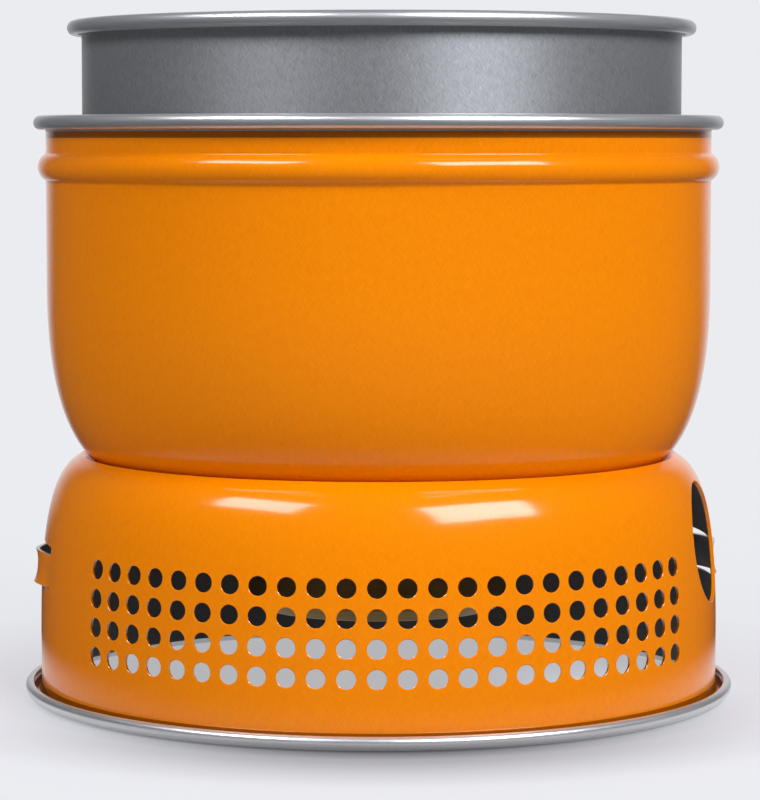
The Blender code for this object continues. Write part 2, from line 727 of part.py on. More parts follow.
def simmer_cover(collection, hidden, material):
    """A flat disc on a rivet, with an ear round the rivet and a tab bent up to push it by."""
    build = bmesh.new()
    middle = (COVER_BOTTOM + COVER_TOP) / 2
    disc_radius = SIMMER_OPENING_RADIUS + COVER_OVERLAP
    add_cylinder(build, disc_radius, COVER_SHEET, 24, Matrix.Translation((0.0, 0.0, middle)))
    made = mesh_object("simmer_cover", build, collection, material)
    ear = bmesh.new()
    add_cylinder(ear, COVER_EAR_RADIUS, COVER_SHEET, 12, Matrix.Translation((COVER_PIVOT, 0.0, middle)))
    cut_or_join(made, mesh_object("cover_ear", ear, hidden), "UNION", hidden)
    tab = bmesh.new()
    inner = disc_radius - 2 * COVER_SHEET
    reach = COVER_TAB_LENGTH - inner
    placing = Matrix.Translation((-inner - reach / 2, 0.0, middle))
    add_box(tab, (reach, COVER_TAB_WIDTH, COVER_SHEET), placing)
    cut_or_join(made, mesh_object("cover_tab", tab, hidden), "UNION", hidden)
    upturn = bmesh.new()
    rise = COVER_TAB_RISE + COVER_SHEET
    placing = Matrix.Translation((COVER_SHEET / 2 - COVER_TAB_LENGTH, 0.0, COVER_BOTTOM + rise / 2))
    add_box(upturn, (COVER_SHEET, COVER_TAB_WIDTH, rise), placing)
    cut_or_join(made, mesh_object("cover_upturn", upturn, hidden), "UNION", hidden)
    cut_or_join(made, rivet_hole("cover_rivet_hole", 8 * SIMMER_SHEET, hidden), "DIFFERENCE", hidden)
    move_mesh(made, Matrix.Translation((COVER_PIVOT, 0.0, 0.0)))
    return made


def simmer_rivet(collection, material):
    """A headed pin: one head under the ring's plate and one over the cover."""
    lower_head_top = SIMMER_BOTTOM - GAP
    upper_head_bottom = COVER_TOP + GAP
    outline = [
        (0.0, upper_head_bottom + RIVET_HEAD),
        (RIVET_HEAD_RADIUS, upper_head_bottom + RIVET_HEAD),
        (RIVET_HEAD_RADIUS, upper_head_bottom),
        (RIVET_RADIUS, upper_head_bottom),
        (RIVET_RADIUS, lower_head_top),
        (RIVET_HEAD_RADIUS, lower_head_top),
        (RIVET_HEAD_RADIUS, lower_head_top - RIVET_HEAD),
        (0.0, lower_head_top - RIVET_HEAD),
    ]
    made = turned("simmer_rivet", outline, 12, collection, material)
    made.location.x = COVER_PIVOT
    return made


def build_cooker():
    for old in list(bpy.data.objects):
        bpy.data.objects.remove(old)
    collection = make_collection("storm_cooker", False)
    hidden = make_collection("storm_cooker_cutters", True)
    enamel = make_material("orange_enamel", (0.83, 0.23, 0.004), 0.35, 0.0)
    aluminium = make_material("pan_aluminium", (0.55, 0.55, 0.56), 0.35, 1.0)
    steel = make_material("stainless_steel", (0.6, 0.6, 0.62), 0.3, 1.0)
    brass = make_material("burner_brass", (0.75, 0.55, 0.22), 0.3, 1.0)
    cotton = make_material("wick_cotton", (0.8, 0.78, 0.7), 0.9, 0.0)

    lower_windshield(collection, hidden, enamel)
    upper = upper_windshield(collection, hidden, enamel.copy())
    support_ring(collection, steel)
    for index in range(SUPPORTS):
        support = pan_support(index, collection, steel)
        support.parent = upper
    saucepan(collection, aluminium)
    burner_body(collection, brass)
    burner_jet_ring(collection, hidden, brass)
    burner_wick(collection, cotton)
    simmer_ring(collection, hidden, brass)
    simmer_cover(collection, hidden, brass)
    simmer_rivet(collection, steel)


build_cooker()
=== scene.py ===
import math
from bisect import bisect_right
from math import cos, degrees, dist, hypot, pi, radians, sin

import bmesh
import bpy
from mathutils import Matrix, Vector
from mathutils.geometry import delaunay_2d_cdt


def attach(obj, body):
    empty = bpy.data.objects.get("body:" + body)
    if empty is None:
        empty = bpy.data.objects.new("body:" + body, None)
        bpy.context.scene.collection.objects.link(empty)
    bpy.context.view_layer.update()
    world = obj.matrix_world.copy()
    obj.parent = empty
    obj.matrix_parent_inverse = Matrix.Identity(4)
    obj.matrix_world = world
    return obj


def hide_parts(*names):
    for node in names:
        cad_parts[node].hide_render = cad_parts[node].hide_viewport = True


# Storm cooker: two spun windshields, a saucepan, its folding supports and a spirit burner.
# Sizes are in millimetres and the frame is in metres. Angles count from the vent grid (-Y) towards +X.
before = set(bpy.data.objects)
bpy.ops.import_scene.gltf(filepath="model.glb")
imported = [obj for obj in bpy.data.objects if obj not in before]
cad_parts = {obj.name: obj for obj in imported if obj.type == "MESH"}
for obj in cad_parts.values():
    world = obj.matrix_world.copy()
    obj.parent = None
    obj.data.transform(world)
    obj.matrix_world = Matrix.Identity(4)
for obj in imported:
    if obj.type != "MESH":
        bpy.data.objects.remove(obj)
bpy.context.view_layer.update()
mm = 0.001
leastStep = 0.02  # nearer points of an outline are one point
sameSpot = 0.0005  # corners nearer than this become one
onAxis = 0.01  # smaller radii lie on the axis
sharpEdge = radians(32)


# Outlines: lists of (radius, height)

def arcPoints(centre, radius, start, end, steps):
    turns = [radians(start + (end - start) * i / steps) for i in range(steps + 1)]
    return [(centre[0] + radius * cos(t), centre[1] + radius * sin(t)) for t in turns]


def curvePoints(controls, steps):
    points = []
    for i in range(steps + 1):
        t = i / steps
        weights = ((1 - t) ** 3, 3 * t * (1 - t) ** 2, 3 * t * t * (1 - t), t ** 3)
        points.append(tuple(sum(w * p[k] for w, p in zip(weights, controls)) for k in (0, 1)))
    return points


def linePoints(start, end, steps):
    return [(start[0] + (end[0] - start[0]) * i / steps, start[1] + (end[1] - start[1]) * i / steps)
            for i in range(steps + 1)]


def elbow(start, corner, end, bend, steps):
    # Two straight runs with a round corner between them. steps counts the parts of all three.
    back, on = ([(point[k] - corner[k]) / dist(point, corner) for k in (0, 1)] for point in (start, end))
    first = degrees(math.atan2(-on[1], -on[0]))
    turn = (degrees(math.atan2(-back[1], -back[0])) - first + 180) % 360 - 180
    centre = [corner[k] + bend * (back[k] + on[k]) for k in (0, 1)]
    arc = arcPoints(centre, bend, first, first + turn, steps[1])
    return joined(linePoints(start, arc[0], steps[0]), arc, linePoints(arc[-1], end, steps[2]))


def normalsOf(points):
    # To the left of the line's direction
    found = []
    for i in range(len(points)):
        before, after = points[max(i - 1, 0)], points[min(i + 1, len(points) - 1)]
        dr, dz = after[0] - before[0], after[1] - before[1]
        size = hypot(dr, dz)
        found.append((-dz / size, dr / size))
    return found


def sideways(points, distance):
    return [(p[0] + n[0] * distance, p[1] + n[1] * distance) for p, n in zip(points, normalsOf(points))]


def joined(*parts):
    # One line out of several, without the doubled points where they meet
    line = []
    for part in parts:
        for point in part:
            if not line or dist(line[-1], point) > leastStep:
                line.append(point)
    return line


class Outline:
    # One face of a spun sheet, measured along its length
    def __init__(self, points):
        self.points = points
        self.normals = normalsOf(points)
        self.lengths = [0.0]
        for a, b in zip(points, points[1:]):
            self.lengths.append(self.lengths[-1] + dist(a, b))

    def at(self, length):
        low = min(max(bisect_right(self.lengths, length) - 1, 0), len(self.lengths) - 2)
        high = low + 1
        share = (length - self.lengths[low]) / (self.lengths[high] - self.lengths[low])
        share = min(max(share, 0.0), 1.0)
        mix = lambda a, b: tuple(x + (y - x) * share for x, y in zip(a, b))
        return mix(self.points[low], self.points[high]) + mix(self.normals[low], self.normals[high])

    def lengthWhere(self, axis, value, fromEnd=True):
        # The length at which the radius (axis 0) or the height (axis 1) has that value
        order = range(len(self.points) - 1)
        for i in reversed(order) if fromEnd else order:
            a, b = self.points[i][axis], self.points[i + 1][axis]
            if a != b and min(a, b) <= value <= max(a, b):
                return self.lengths[i] + (self.lengths[i + 1] - self.lengths[i]) * (value - a) / (b - a)
        raise ValueError("the outline never has that radius or height")


# Meshes

def turnTo(angle):
    return Matrix.Rotation(radians(angle - 90), 4, "Z")


def placeAt(angle, radius, height):
    turn = radians(angle - 90)
    return (radius * cos(turn) * mm, radius * sin(turn) * mm, height * mm)


def mapByFacing(mesh, first=0):
    # A map in millimetres for faces that have none, from the side that each face looks to
    layer = mesh.uv_layers.get("sheet") or mesh.uv_layers.new(name="sheet")
    for face in mesh.polygons[first:]:
        axis = max(range(3), key=lambda k: abs(face.normal[k]))
        across, up = [k for k in range(3) if k != axis]
        for corner in face.loop_indices:
            place = mesh.vertices[mesh.loops[corner].vertex_index].co
            layer.uv[corner].vector = (place[across] / mm, place[up] / mm)


def addObject(name, data):
    thing = bpy.data.objects.new(name, data)
    bpy.context.scene.collection.objects.link(thing)
    return thing


def newPiece(name, mesh, materials, body, node):
    if "sheet" not in mesh.uv_layers:
        mapByFacing(mesh)
    piece = addObject(name, mesh)
    for material in materials:
        mesh.materials.append(material)
    mesh.shade_smooth()
    mesh.set_sharp_from_angle(angle=sharpEdge)
    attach(piece, body)
    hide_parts(node)


def closedMesh(name, build):
    bmesh.ops.remove_doubles(build, verts=build.verts, dist=sameSpot * mm)
    bmesh.ops.recalc_face_normals(build, faces=build.faces)
    mesh = bpy.data.meshes.new(name)
    build.to_mesh(mesh)
    build.free()
    return mesh


def meshOfCurve(name, loops, closed, **settings):
    # The mesh of a curve through loops of places in metres
    curve = bpy.data.curves.new(name, "CURVE")
    for key, value in settings.items():
        setattr(curve, key, value)
    for loop in loops:
        spline = curve.splines.new("POLY")
        spline.points.add(len(loop) - 1)
        spline.use_cyclic_u = closed
        for point, place in zip(spline.points, loop):
            point.co = (*place, 1)
    holder = addObject(name, curve)
    bpy.context.view_layer.update()
    mesh = bpy.data.meshes.new_from_object(holder.evaluated_get(bpy.context.evaluated_depsgraph_get()))
    bpy.data.objects.remove(holder)
    return mesh


def bandsBetween(rings):
    # The four-sided faces between each ring of corners and the next
    for near, far in zip(rings, rings[1:]):
        for i in range(len(near)):
            k = (i + 1) % len(near)
            yield [near[i], near[k], far[k], far[i]]


def insideLoop(point, loop):
    inside = False
    for (x0, y0), (x1, y1) in zip(loop, loop[1:] + loop[:1]):
        if (y0 > point[1]) != (y1 > point[1]) and point[0] < x0 + (x1 - x0) * (point[1] - y0) / (y1 - y0):
            inside = not inside
    return inside


def cutOpenings(outline, columns, flat, group):
    # Fills the block of the grid round some openings with triangles that leave them open
    step = 360 / columns
    margin = 0.4  # sheet kept round the group
    clearShare = 0.3  # of a column, kept free beside an edge
    finest = 0.00001
    edges = [opening["loops"][0] for opening in group]
    angles = [a for loop in edges for a, _ in loop]
    lengths = [s for loop in edges for _, s in loop]
    firstColumn = math.floor((min(angles) + 180) / step - margin)
    lastColumn = math.ceil((max(angles) + 180) / step + margin)
    firstRow = max(i for i, s in enumerate(outline.lengths) if s < min(lengths) - margin)
    lastRow = min(i for i, s in enumerate(outline.lengths) if s > max(lengths) + margin)
    middle = outline.at((min(lengths) + max(lengths)) / 2)[0]
    across = radians(1) * middle
    clear = clearShare * step * across
    rounds = []
    for loop in edges:
        points = [(a * across, s) for a, s in loop]
        centre = (sum(p[0] for p in points) / len(points), sum(p[1] for p in points) / len(points))
        rounds.append((points, centre, max(dist(p, centre) for p in points) + clear))

    def covered(point):
        for points, centre, reach in rounds:
            if dist(point, centre) < reach:
                if insideLoop(point, points) or min(dist(point, p) for p in points) < clear:
                    return True
        return False

    spots, ids = [], []
    border = {}
    for row in range(firstRow, lastRow + 1):
        for column in range(firstColumn, lastColumn + 1):
            point = ((column * step - 180) * across, outline.lengths[row])
            onBorder = row in (firstRow, lastRow) or column in (firstColumn, lastColumn)
            if onBorder or not covered(point):
                if onBorder:
                    border[(row, column)] = len(spots)
                spots.append(Vector(point))
                ids.append(row * columns + column % columns)
    ties = []
    for (row, column), index in border.items():
        if row in (firstRow, lastRow) and (row, column + 1) in border:
            ties.append((index, border[(row, column + 1)]))
        if column in (firstColumn, lastColumn) and (row + 1, column) in border:
            ties.append((index, border[(row + 1, column)]))
    holes, loops = [], []
    for loop in edges:
        holes.append(list(range(len(spots), len(spots) + len(loop))))
        loops.append(list(range(len(flat), len(flat) + len(loop))))
        for angle, length in loop:
            spots.append(Vector((angle * across, length)))
            ids.append(len(flat))
            flat.append((angle, length))
    places, _, triangles, origins, _, _ = delaunay_2d_cdt(spots, ties, holes, 0, finest)
    faces = []
    for triangle in triangles:
        middle = sum((places[v] for v in triangle), Vector((0, 0))) / 3
        if not any(dist(middle, centre) < reach and insideLoop(middle, points)
                   for points, centre, reach in rounds):
            faces.append([ids[origins[v][0]] for v in triangle])
    taken = {(row, column % columns) for row in range(firstRow, lastRow)
             for column in range(firstColumn, lastColumn)}
    return faces, loops, taken


def spunSheet(name, outline, columns, thickness, groups=(), lift=None, finish=None, edge=0.12):
    # A sheet turned round the axis. finish gives a face's material, lift a place's bulge.
    # An opening has loops at the outer face, just under it, just over the inner face and at it.
    step = 360 / columns
    rows = len(outline.points)
    around = radians(1) * max(r for r, _ in outline.points)
    flat = [(column * step - 180, s) for s in outline.lengths for column in range(columns)]
    faces, taken, rims, behind = [], set(), [], {}
    for group in groups:
        newFaces, loops, newTaken = cutOpenings(outline, columns, flat, group)
        faces += newFaces
        taken |= newTaken
        rims += zip(loops, group)
        for loop, opening in zip(loops, group):
            behind.update(zip(loop, opening["loops"][3]))
    for row in range(rows - 1):
        for column in range(columns):
            if (row, column) not in taken:
                after = (column + 1) % columns
                faces.append([row * columns + column, row * columns + after,
                              (row + 1) * columns + after, (row + 1) * columns + column])
    build = bmesh.new()
    uvLayer = build.loops.layers.uv.new("sheet")
    where = {}

    def put(angle, length, depth, beyond=0.0):
        r, z, nr, nz = outline.at(length)
        out = (lift(angle, z) if lift else 0.0) - depth
        r += nr * out + nz * beyond
        z += nz * out - nr * beyond
        vert = build.verts.new(placeAt(angle, r, z))
        where[vert] = (angle, length)
        return vert

    def face(corners, side):
        if len(set(corners)) < 3:
            return
        made = build.faces.new(corners)
        angles = [where[v][0] for v in corners]
        middle = sum(where[v][1] for v in corners) / len(corners)
        made.material_index = finish(side, middle) if finish else 0
        wrap = max(angles) - min(angles) > 180
        for corner, angle in zip(made.loops, angles):
            if wrap and angle < 0:
                angle += 360
            corner[uvLayer].uv = (angle * around, where[corner.vert][1])

    outer = [put(a, s, 0.0) for a, s in flat]
    inner = [put(*behind.get(i, flat[i]), thickness) for i in range(len(flat))]
    for corners in faces:
        face([outer[i] for i in corners], "outer")
        face([inner[i] for i in reversed(corners)], "inner")
    for loop, opening in rims:
        rings = [[outer[i] for i in loop],
                 [put(a, s, edge) for a, s in opening["loops"][1]],
                 [put(a, s, thickness - edge) for a, s in opening["loops"][2]],
                 [inner[i] for i in loop]]
        for corners in bandsBetween(rings):
            face(corners, opening["side"])
    for row, sign in ((0, 1), (rows - 1, -1)):
        if outline.points[row][0] < onAxis:
            continue
        span = range(row * columns, (row + 1) * columns)
        # a half-round edge
        rings = [[outer[i] for i in span]]
        for turn in (45, 90, 135):
            depth = thickness * (1 - cos(radians(turn))) / 2
            beyond = -sign * thickness * sin(radians(turn)) / 2
            rings.append([put(*flat[i], depth, beyond) for i in span])
        rings.append([inner[i] for i in span])
        for corners in bandsBetween(rings):
            face(corners, "end")
    return closedMesh(name, build)


def ring(radius, sides):
    return arcPoints((0, 0), radius, 0, 360, sides)[:-1]


def wallLoop(outline, angle, height, shape):
    # A flat shape of (across, up) cut straight through the wall
    loop = []
    for x, y in shape:
        length = outline.lengthWhere(1, height + y)
        loop.append((angle + degrees(math.asin(x / outline.at(length)[0])), length))
    return loop


def floorLoop(outline, angle, out, shape):
    # A flat shape of (across, out) cut straight down through the floor
    return [(angle + degrees(math.atan2(x, out + y)), outline.lengthWhere(0, hypot(x, out + y)))
            for x, y in shape]


def newOpening(cut, outline, angle, place, shape, grows, side="cut"):
    # cut is wallLoop or floorLoop. shape gives the edge grown by so much. side names its cut face.
    if not isinstance(grows, tuple):
        grows = (grows, 0.0, 0.0, grows)  # a plain chamfer
    return {"loops": [cut(outline, angle, place, shape(grow)) for grow in grows], "side": side}


def roundHole(cut, outline, angle, place, hole, side="cut"):
    radius, sides, grows = hole
    return newOpening(cut, outline, angle, place, lambda grow: ring(radius + grow, sides), grows, side)


def turnedSolid(name, outline, columns, shape=None):
    # A closed outline turned round the axis. shape may move a point.
    build = bmesh.new()
    uvLayer = build.loops.layers.uv.new("sheet")
    lengths = [0.0]
    for a, b in zip(outline, outline[1:] + outline[:1]):
        lengths.append(lengths[-1] + dist(a, b))
    angles = [360 * column / columns for column in range(columns)]
    rings = [[build.verts.new(placeAt(a, shape(a, r, z) if shape else r, z)) for a in angles]
             for r, z in outline]
    for row in range(len(outline)):
        near, far = rings[row], rings[(row + 1) % len(outline)]
        if outline[row][0] < onAxis and outline[(row + 1) % len(outline)][0] < onAxis:
            continue
        for i in range(columns):
            k = (i + 1) % columns
            made = build.faces.new([near[i], near[k], far[k], far[i]])
            along = 2 * pi * max(outline[row][0], 1.0) / columns
            ends = ((i, row), (i + 1, row), (i + 1, row + 1), (i, row + 1))
            for corner, (column, place) in zip(made.loops, ends):
                corner[uvLayer].uv = (column * along, lengths[place])
    return closedMesh(name, build)


def rounded(points, radius, steps=3):
    # A closed outline with its corners rounded, as far as its short sides allow
    line = []
    for i, corner in enumerate(points):
        before, after = points[i - 1], points[(i + 1) % len(points)]
        if corner[0] < onAxis:
            line.append(corner)
            continue
        reach = [min(radius, 0.45 * dist(corner, end)) for end in (before, after)]
        a, b = ([corner[k] + (end[k] - corner[k]) * r / dist(corner, end) for k in (0, 1)]
                for end, r in zip((before, after), reach))
        for step in range(steps + 1):
            t = step / steps
            line.append(tuple((1 - t) ** 2 * a[k] + 2 * t * (1 - t) * corner[k] + t * t * b[k]
                              for k in (0, 1)))
    return line


def bentStrip(build, path, thickness, width, tip, placing, bevel=0.15):
    # A strip bent along a path of (out, up), with rounded corners at its far end
    part = bmesh.new()
    faces = [sideways(path, thickness / 2), sideways(path, -thickness / 2)]
    total = sum(dist(a, b) for a, b in zip(path, path[1:]))
    done, rings = 0.0, []
    for i in range(len(path)):
        if i:
            done += dist(path[i - 1], path[i])
        left = total - done
        half = width / 2
        if left < tip:
            half -= tip - math.sqrt(max(tip ** 2 - (tip - left) ** 2, 0.0))
        square = []
        for side, sign in ((0, 1), (0, -1), (1, -1), (1, 1)):
            x, z = faces[side][i]
            square.append(part.verts.new((x * mm, sign * half * mm, z * mm)))
        rings.append(square)
    for corners in bandsBetween(rings):
        part.faces.new(corners)
    part.faces.new(rings[0])
    part.faces.new(list(reversed(rings[-1])))
    bmesh.ops.recalc_face_normals(part, faces=part.faces)
    folded = radians(50)  # the strip's own corners, and none of its bends
    corners = [e for e in part.edges if e.calc_face_angle(0.0) > folded]
    bmesh.ops.bevel(part, geom=corners, offset=bevel * mm, segments=2, affect="EDGES", profile=0.5)
    part.transform(placing)
    made = bpy.data.meshes.new("strip")
    part.to_mesh(made)
    part.free()
    build.from_mesh(made)
    bpy.data.meshes.remove(made)


# Materials

def linearColour(code):
    # sRGB hex to the linear values that a shader reads
    parts = [int(code[i:i + 2], 16) / 255 for i in (1, 3, 5)]
    return tuple(p / 12.92 if p <= 0.04045 else ((p + 0.055) / 1.055) ** 2.4 for p in parts) + (1.0,)


def addNode(tree, kind, inputs=None, **settings):
    # An input that is a node stands for that node's first output
    node = tree.nodes.new("ShaderNode" + kind)
    for key, value in settings.items():
        setattr(node, key, value)
    for socket, value in (inputs or {}).items():
        if isinstance(value, bpy.types.Node):
            value = value.outputs[0]
        if isinstance(value, bpy.types.NodeSocket):
            tree.links.new(value, node.inputs[socket])
        else:
            node.inputs[socket].default_value = value
    return node


def newMaterial(name, **sockets):
    material = bpy.data.materials.new(name)
    material.use_nodes = True
    shader = material.node_tree.nodes["Principled BSDF"]
    for socket, value in sockets.items():
        shader.inputs[socket.replace("_", " ")].default_value = value
    return material, material.node_tree, shader


def scratches(tree, shader, look, detail, fineShare):
    # Noise drawn out along each of the look's turns, which carries the colour from deep to bright
    uv = addNode(tree, "UVMap", uv_map="sheet")
    total = None
    for turn in look["lineTurns"]:
        place = addNode(tree, "Mapping", {
            "Vector": uv, "Rotation": (0, 0, radians(turn)),
            "Scale": (look["lineLength"], look["lineWidth"], 1)}, vector_type="TEXTURE")
        noise = addNode(tree, "TexNoise", {
            "Vector": place, "Scale": 1.0, "Detail": detail, "Roughness": fineShare})
        total = noise if total is None else addNode(tree, "Math", {0: total, 1: noise}, operation="ADD")
    count = len(look["lineTurns"])
    share = addNode(tree, "MapRange", {"Value": total, "From Min": 0.3 * count, "From Max": 0.7 * count})
    ramp = addNode(tree, "ValToRGB", {"Fac": share})
    for stop, tone in zip(ramp.color_ramp.elements, ("deep", "bright")):
        stop.color = linearColour(look[tone])
    tree.links.new(ramp.outputs[0], shader.inputs["Base Color"])
    return uv, total, share


def grainBump(tree, shader, look, height):
    bump = addNode(tree, "Bump", {"Height": height, "Distance": look["grain"] * mm, "Strength": 1.0})
    tree.links.new(bump.outputs[0], shader.inputs["Normal"])


def enamelMaterial(name, look):
    # The sheet's crossed scratches show very faintly through a smooth coat, which is slightly uneven
    material, tree, shader = newMaterial(
        name, Roughness=look["roughness"], Specular_IOR_Level=look["baseGloss"], Coat_Weight=look["coat"],
        Coat_Roughness=look["coatRoughness"], Coat_IOR=look["coatIor"])
    uv, total, _ = scratches(tree, shader, look, 2.0, 0.5)
    clouds = addNode(tree, "TexNoise", {"Vector": uv, "Scale": 1 / look["cloud"], "Detail": 2.0})
    grainBump(tree, shader, look, addNode(tree, "Math", {0: total, 1: clouds}, operation="ADD"))
    return material


def metalMaterial(name, look):
    # Fine lines or crossed scratches spread the metal's reflections
    material, tree, shader = newMaterial(name, Metallic=look["metal"], Roughness=look["roughness"],
                                         Anisotropic=look.get("spread", 0.0), Anisotropic_Rotation=0.25)
    _, total, share = scratches(tree, shader, look, 3.0, 0.6)
    spread = addNode(tree, "MapRange", {
        "Value": share, "To Min": look["roughness"] - look["roughnessSwing"],
        "To Max": look["roughness"] + look["roughnessSwing"]})
    tree.links.new(spread.outputs[0], shader.inputs["Roughness"])
    grainBump(tree, shader, look, total)
    return material


# Line widths, lengths and clouds are in millimetres. The real lines are a few hundredths wide, too fine
# for the render, so they are drawn as coarse as they need to show.
# baked enamel on cross-brushed aluminium: a strong even colour with sharp highlights in its coat
enamelLook = {
    "deep": "#EA7D00", "bright": "#F98B00", "roughness": 0.5, "baseGloss": 0.0,
    "coat": 1.0, "coatRoughness": 0.13, "coatIor": 1.45,
    "lineTurns": (57, -57), "lineWidth": 0.35, "lineLength": 3.0, "cloud": 0.9, "grain": 0.004,
}
# the same enamel darkened by painted shade, for the band under the upper rim and the lower rim's gutter
paintedShadeLook = dict(enamelLook, deep="#985000", bright="#A05400")
# hard anodised aluminium: an even grey without a clear reflection
darkLook = {
    "deep": "#8A8789", "bright": "#989597", "metal": 0.0, "roughness": 0.5, "roughnessSwing": 0.05,
    "lineTurns": (0,), "lineLength": 20.0, "lineWidth": 0.3, "grain": 0.003,
}
# aluminium brushed in three directions: streaks, and a reflection blurred into bands
panLook = {
    "deep": "#818181", "bright": "#CCCCCB", "metal": 0.7, "roughness": 0.48, "roughnessSwing": 0.05,
    "spread": 0.6, "lineTurns": (-58, 42, 80), "lineLength": 2.5, "lineWidth": 0.22, "grain": 0.004,
}
# aluminium polished along the rim: pale, with soft lines along it
rimLook = {
    "deep": "#DAD9D7", "bright": "#EEEDEB", "metal": 0.8, "roughness": 0.34, "roughnessSwing": 0.04,
    "lineTurns": (0,), "lineLength": 30.0, "lineWidth": 0.25, "grain": 0.002,
}
# drawn stainless steel: lines along the drawing and a clear reflection
steelLook = {
    "deep": "#A9AAAC", "bright": "#C4C5C7", "metal": 0.85, "roughness": 0.28, "roughnessSwing": 0.05,
    "lineTurns": (0,), "lineLength": 8.0, "lineWidth": 0.15, "grain": 0.002,
}
# turned brass: fine rings round the axis and a warm reflection
brassLook = {
    "deep": "#8C6E3C", "bright": "#AE8E52", "metal": 0.72, "roughness": 0.36, "roughnessSwing": 0.06,
    "lineTurns": (0,), "lineLength": 12.0, "lineWidth": 0.2, "grain": 0.003,
}

enamel = enamelMaterial("bakedEnamel", enamelLook)
paintedShadeEnamel = enamelMaterial("bakedEnamelCrevice", paintedShadeLook)
darkSheet = metalMaterial("hardAnodisedInside", darkLook)
brushedPan = metalMaterial("brushedAluminium", panLook)
brightRim = metalMaterial("polishedAluminium", rimLook)
steel = metalMaterial("drawnStainlessSteel", steelLook)
brass = metalMaterial("turnedBrass", brassLook)
cotton, _, _ = newMaterial("cottonFelt", Roughness=0.95)  # pale and quite matt
# slots: enamel, bare rim, anodised inside, and the enamel with painted shade
windshieldLook = (enamel, brightRim, darkSheet, paintedShadeEnamel)
print("materials made")


# Upper windshield

upperSheet = {
    "wallRadius": 84.05, "floor": 53.15, "bowlTop": 103.4, "bowlRise": 28.8, "floorRadius": 55.3,
    "reach": 22.8, "mouth": 47.0, "thickness": 1.0, "columns": 228,
    "curlRadius": 85.35, "curlHeight": 144.45, "curlInside": 0.75, "neckDrops": (0.8, 1.2, 2.2),
    "coatTop": 142.0, "creviceEnd": 140.0, "darkDrop": 1.2,
    "beadHeight": 133.4, "beadOut": 2.03, "beadHalf": 3.4, "beadFillet": 0.7,
    "slotInner": 50.0, "slotOuter": 52.0, "slotEntry": 55.5, "slotSide": 6.0, "slotEnd": 17.57,
    "slotAngles": (30, 150, 270), "slotSpacing": 2.0, "slotChamfer": 0.12,
}


def rolledRim(size):
    # The curl from its hidden end to the top, then the neck down to the wall
    curl = arcPoints((size["curlRadius"], size["curlHeight"]), size["curlInside"], -110, 180, 22)
    wall, (r, z) = size["wallRadius"], curl[-1]
    first, second, last = size["neckDrops"]
    return joined(curl, curvePoints(((r, z), (r, z - first), (wall, z - second), (wall, z - last)), 6))


def bowlPoints(size, steps):
    wall, top = size["wallRadius"], size["bowlTop"]
    radius, floor = size["floorRadius"], size["floor"]
    controls = ((wall, top), (wall, top - size["bowlRise"]), (radius + size["reach"], floor), (radius, floor))
    return curvePoints(controls, steps)


def upperOutline(size):
    wall = size["wallRadius"]
    rim = rolledRim(size)
    radius = (size["beadHalf"] ** 2 + size["beadOut"] ** 2) / (2 * size["beadOut"])
    reach = degrees(math.asin(size["beadHalf"] / radius))
    fillet = degrees(size["beadFillet"] / radius)
    middle = (wall + size["beadOut"] - radius, size["beadHeight"])
    bead = arcPoints(middle, radius, reach - fillet, fillet - reach, 20)
    ends = []
    for end, sign in ((bead[0], 1), (bead[-1], -1)):
        foot = (wall, size["beadHeight"] + sign * size["beadHalf"])
        ends.append(curvePoints(((wall, foot[1] + sign * size["beadFillet"]), foot, foot, end), 5))
    bead = joined(ends[0], bead, ends[1][::-1])
    above = linePoints(rim[-1], bead[0], 3)
    below = linePoints(bead[-1], (wall, size["bowlTop"]), 9)
    floor = linePoints((size["floorRadius"], size["floor"]), (size["mouth"], size["floor"]), 5)
    return joined(rim, above, bead, below, bowlPoints(size, 44), floor)


def keyhole(size, grow):
    # One slot in the floor: wide enough for a tongue's lip, then narrow along the locking turn
    side, end = size["slotSide"] + grow, size["slotEnd"] + grow
    inner, outer, entry = size["slotInner"] - grow, size["slotOuter"] + grow, size["slotEntry"] + grow
    corners = [(-side, inner), (end, inner), (end, outer), (side, outer), (side, entry), (-side, entry)]
    loop = []
    for a, b in zip(corners, corners[1:] + corners[:1]):
        loop += linePoints(a, b, max(1, round(dist(a, b) / size["slotSpacing"])))[:-1]
    return loop


upperLine = Outline(upperOutline(upperSheet))
upperCoat = upperLine.lengthWhere(1, upperSheet["coatTop"])
# the enamel from coatTop down to this height carries painted shade under the rim
upperPaintedShade = upperLine.lengthWhere(1, upperSheet["creviceEnd"])
upperDark = upperLine.lengthWhere(1, upperSheet["curlHeight"] - upperSheet["darkDrop"])


def upperFinish(side, length):
    # The place in windshieldLook of a face's material
    if side in ("cut", "end"):
        return 1
    if side == "outer":
        # outside: bare rim, then a band of painted shade under the rim, then plain enamel
        return 1 if length < upperCoat else 3 if length < upperPaintedShade else 0
    return 2 if length > upperDark else 1


slots = [[newOpening(floorLoop, upperLine, angle, 0, lambda grow: keyhole(upperSheet, grow),
                     upperSheet["slotChamfer"])] for angle in upperSheet["slotAngles"]]
upperMesh = spunSheet("upperWindshield", upperLine, upperSheet["columns"], upperSheet["thickness"], slots,
                      finish=upperFinish)
newPiece("upperWindshield", upperMesh, windshieldLook, "upper", "upper_windshield")
print("upper windshield made")


# Lower windshield

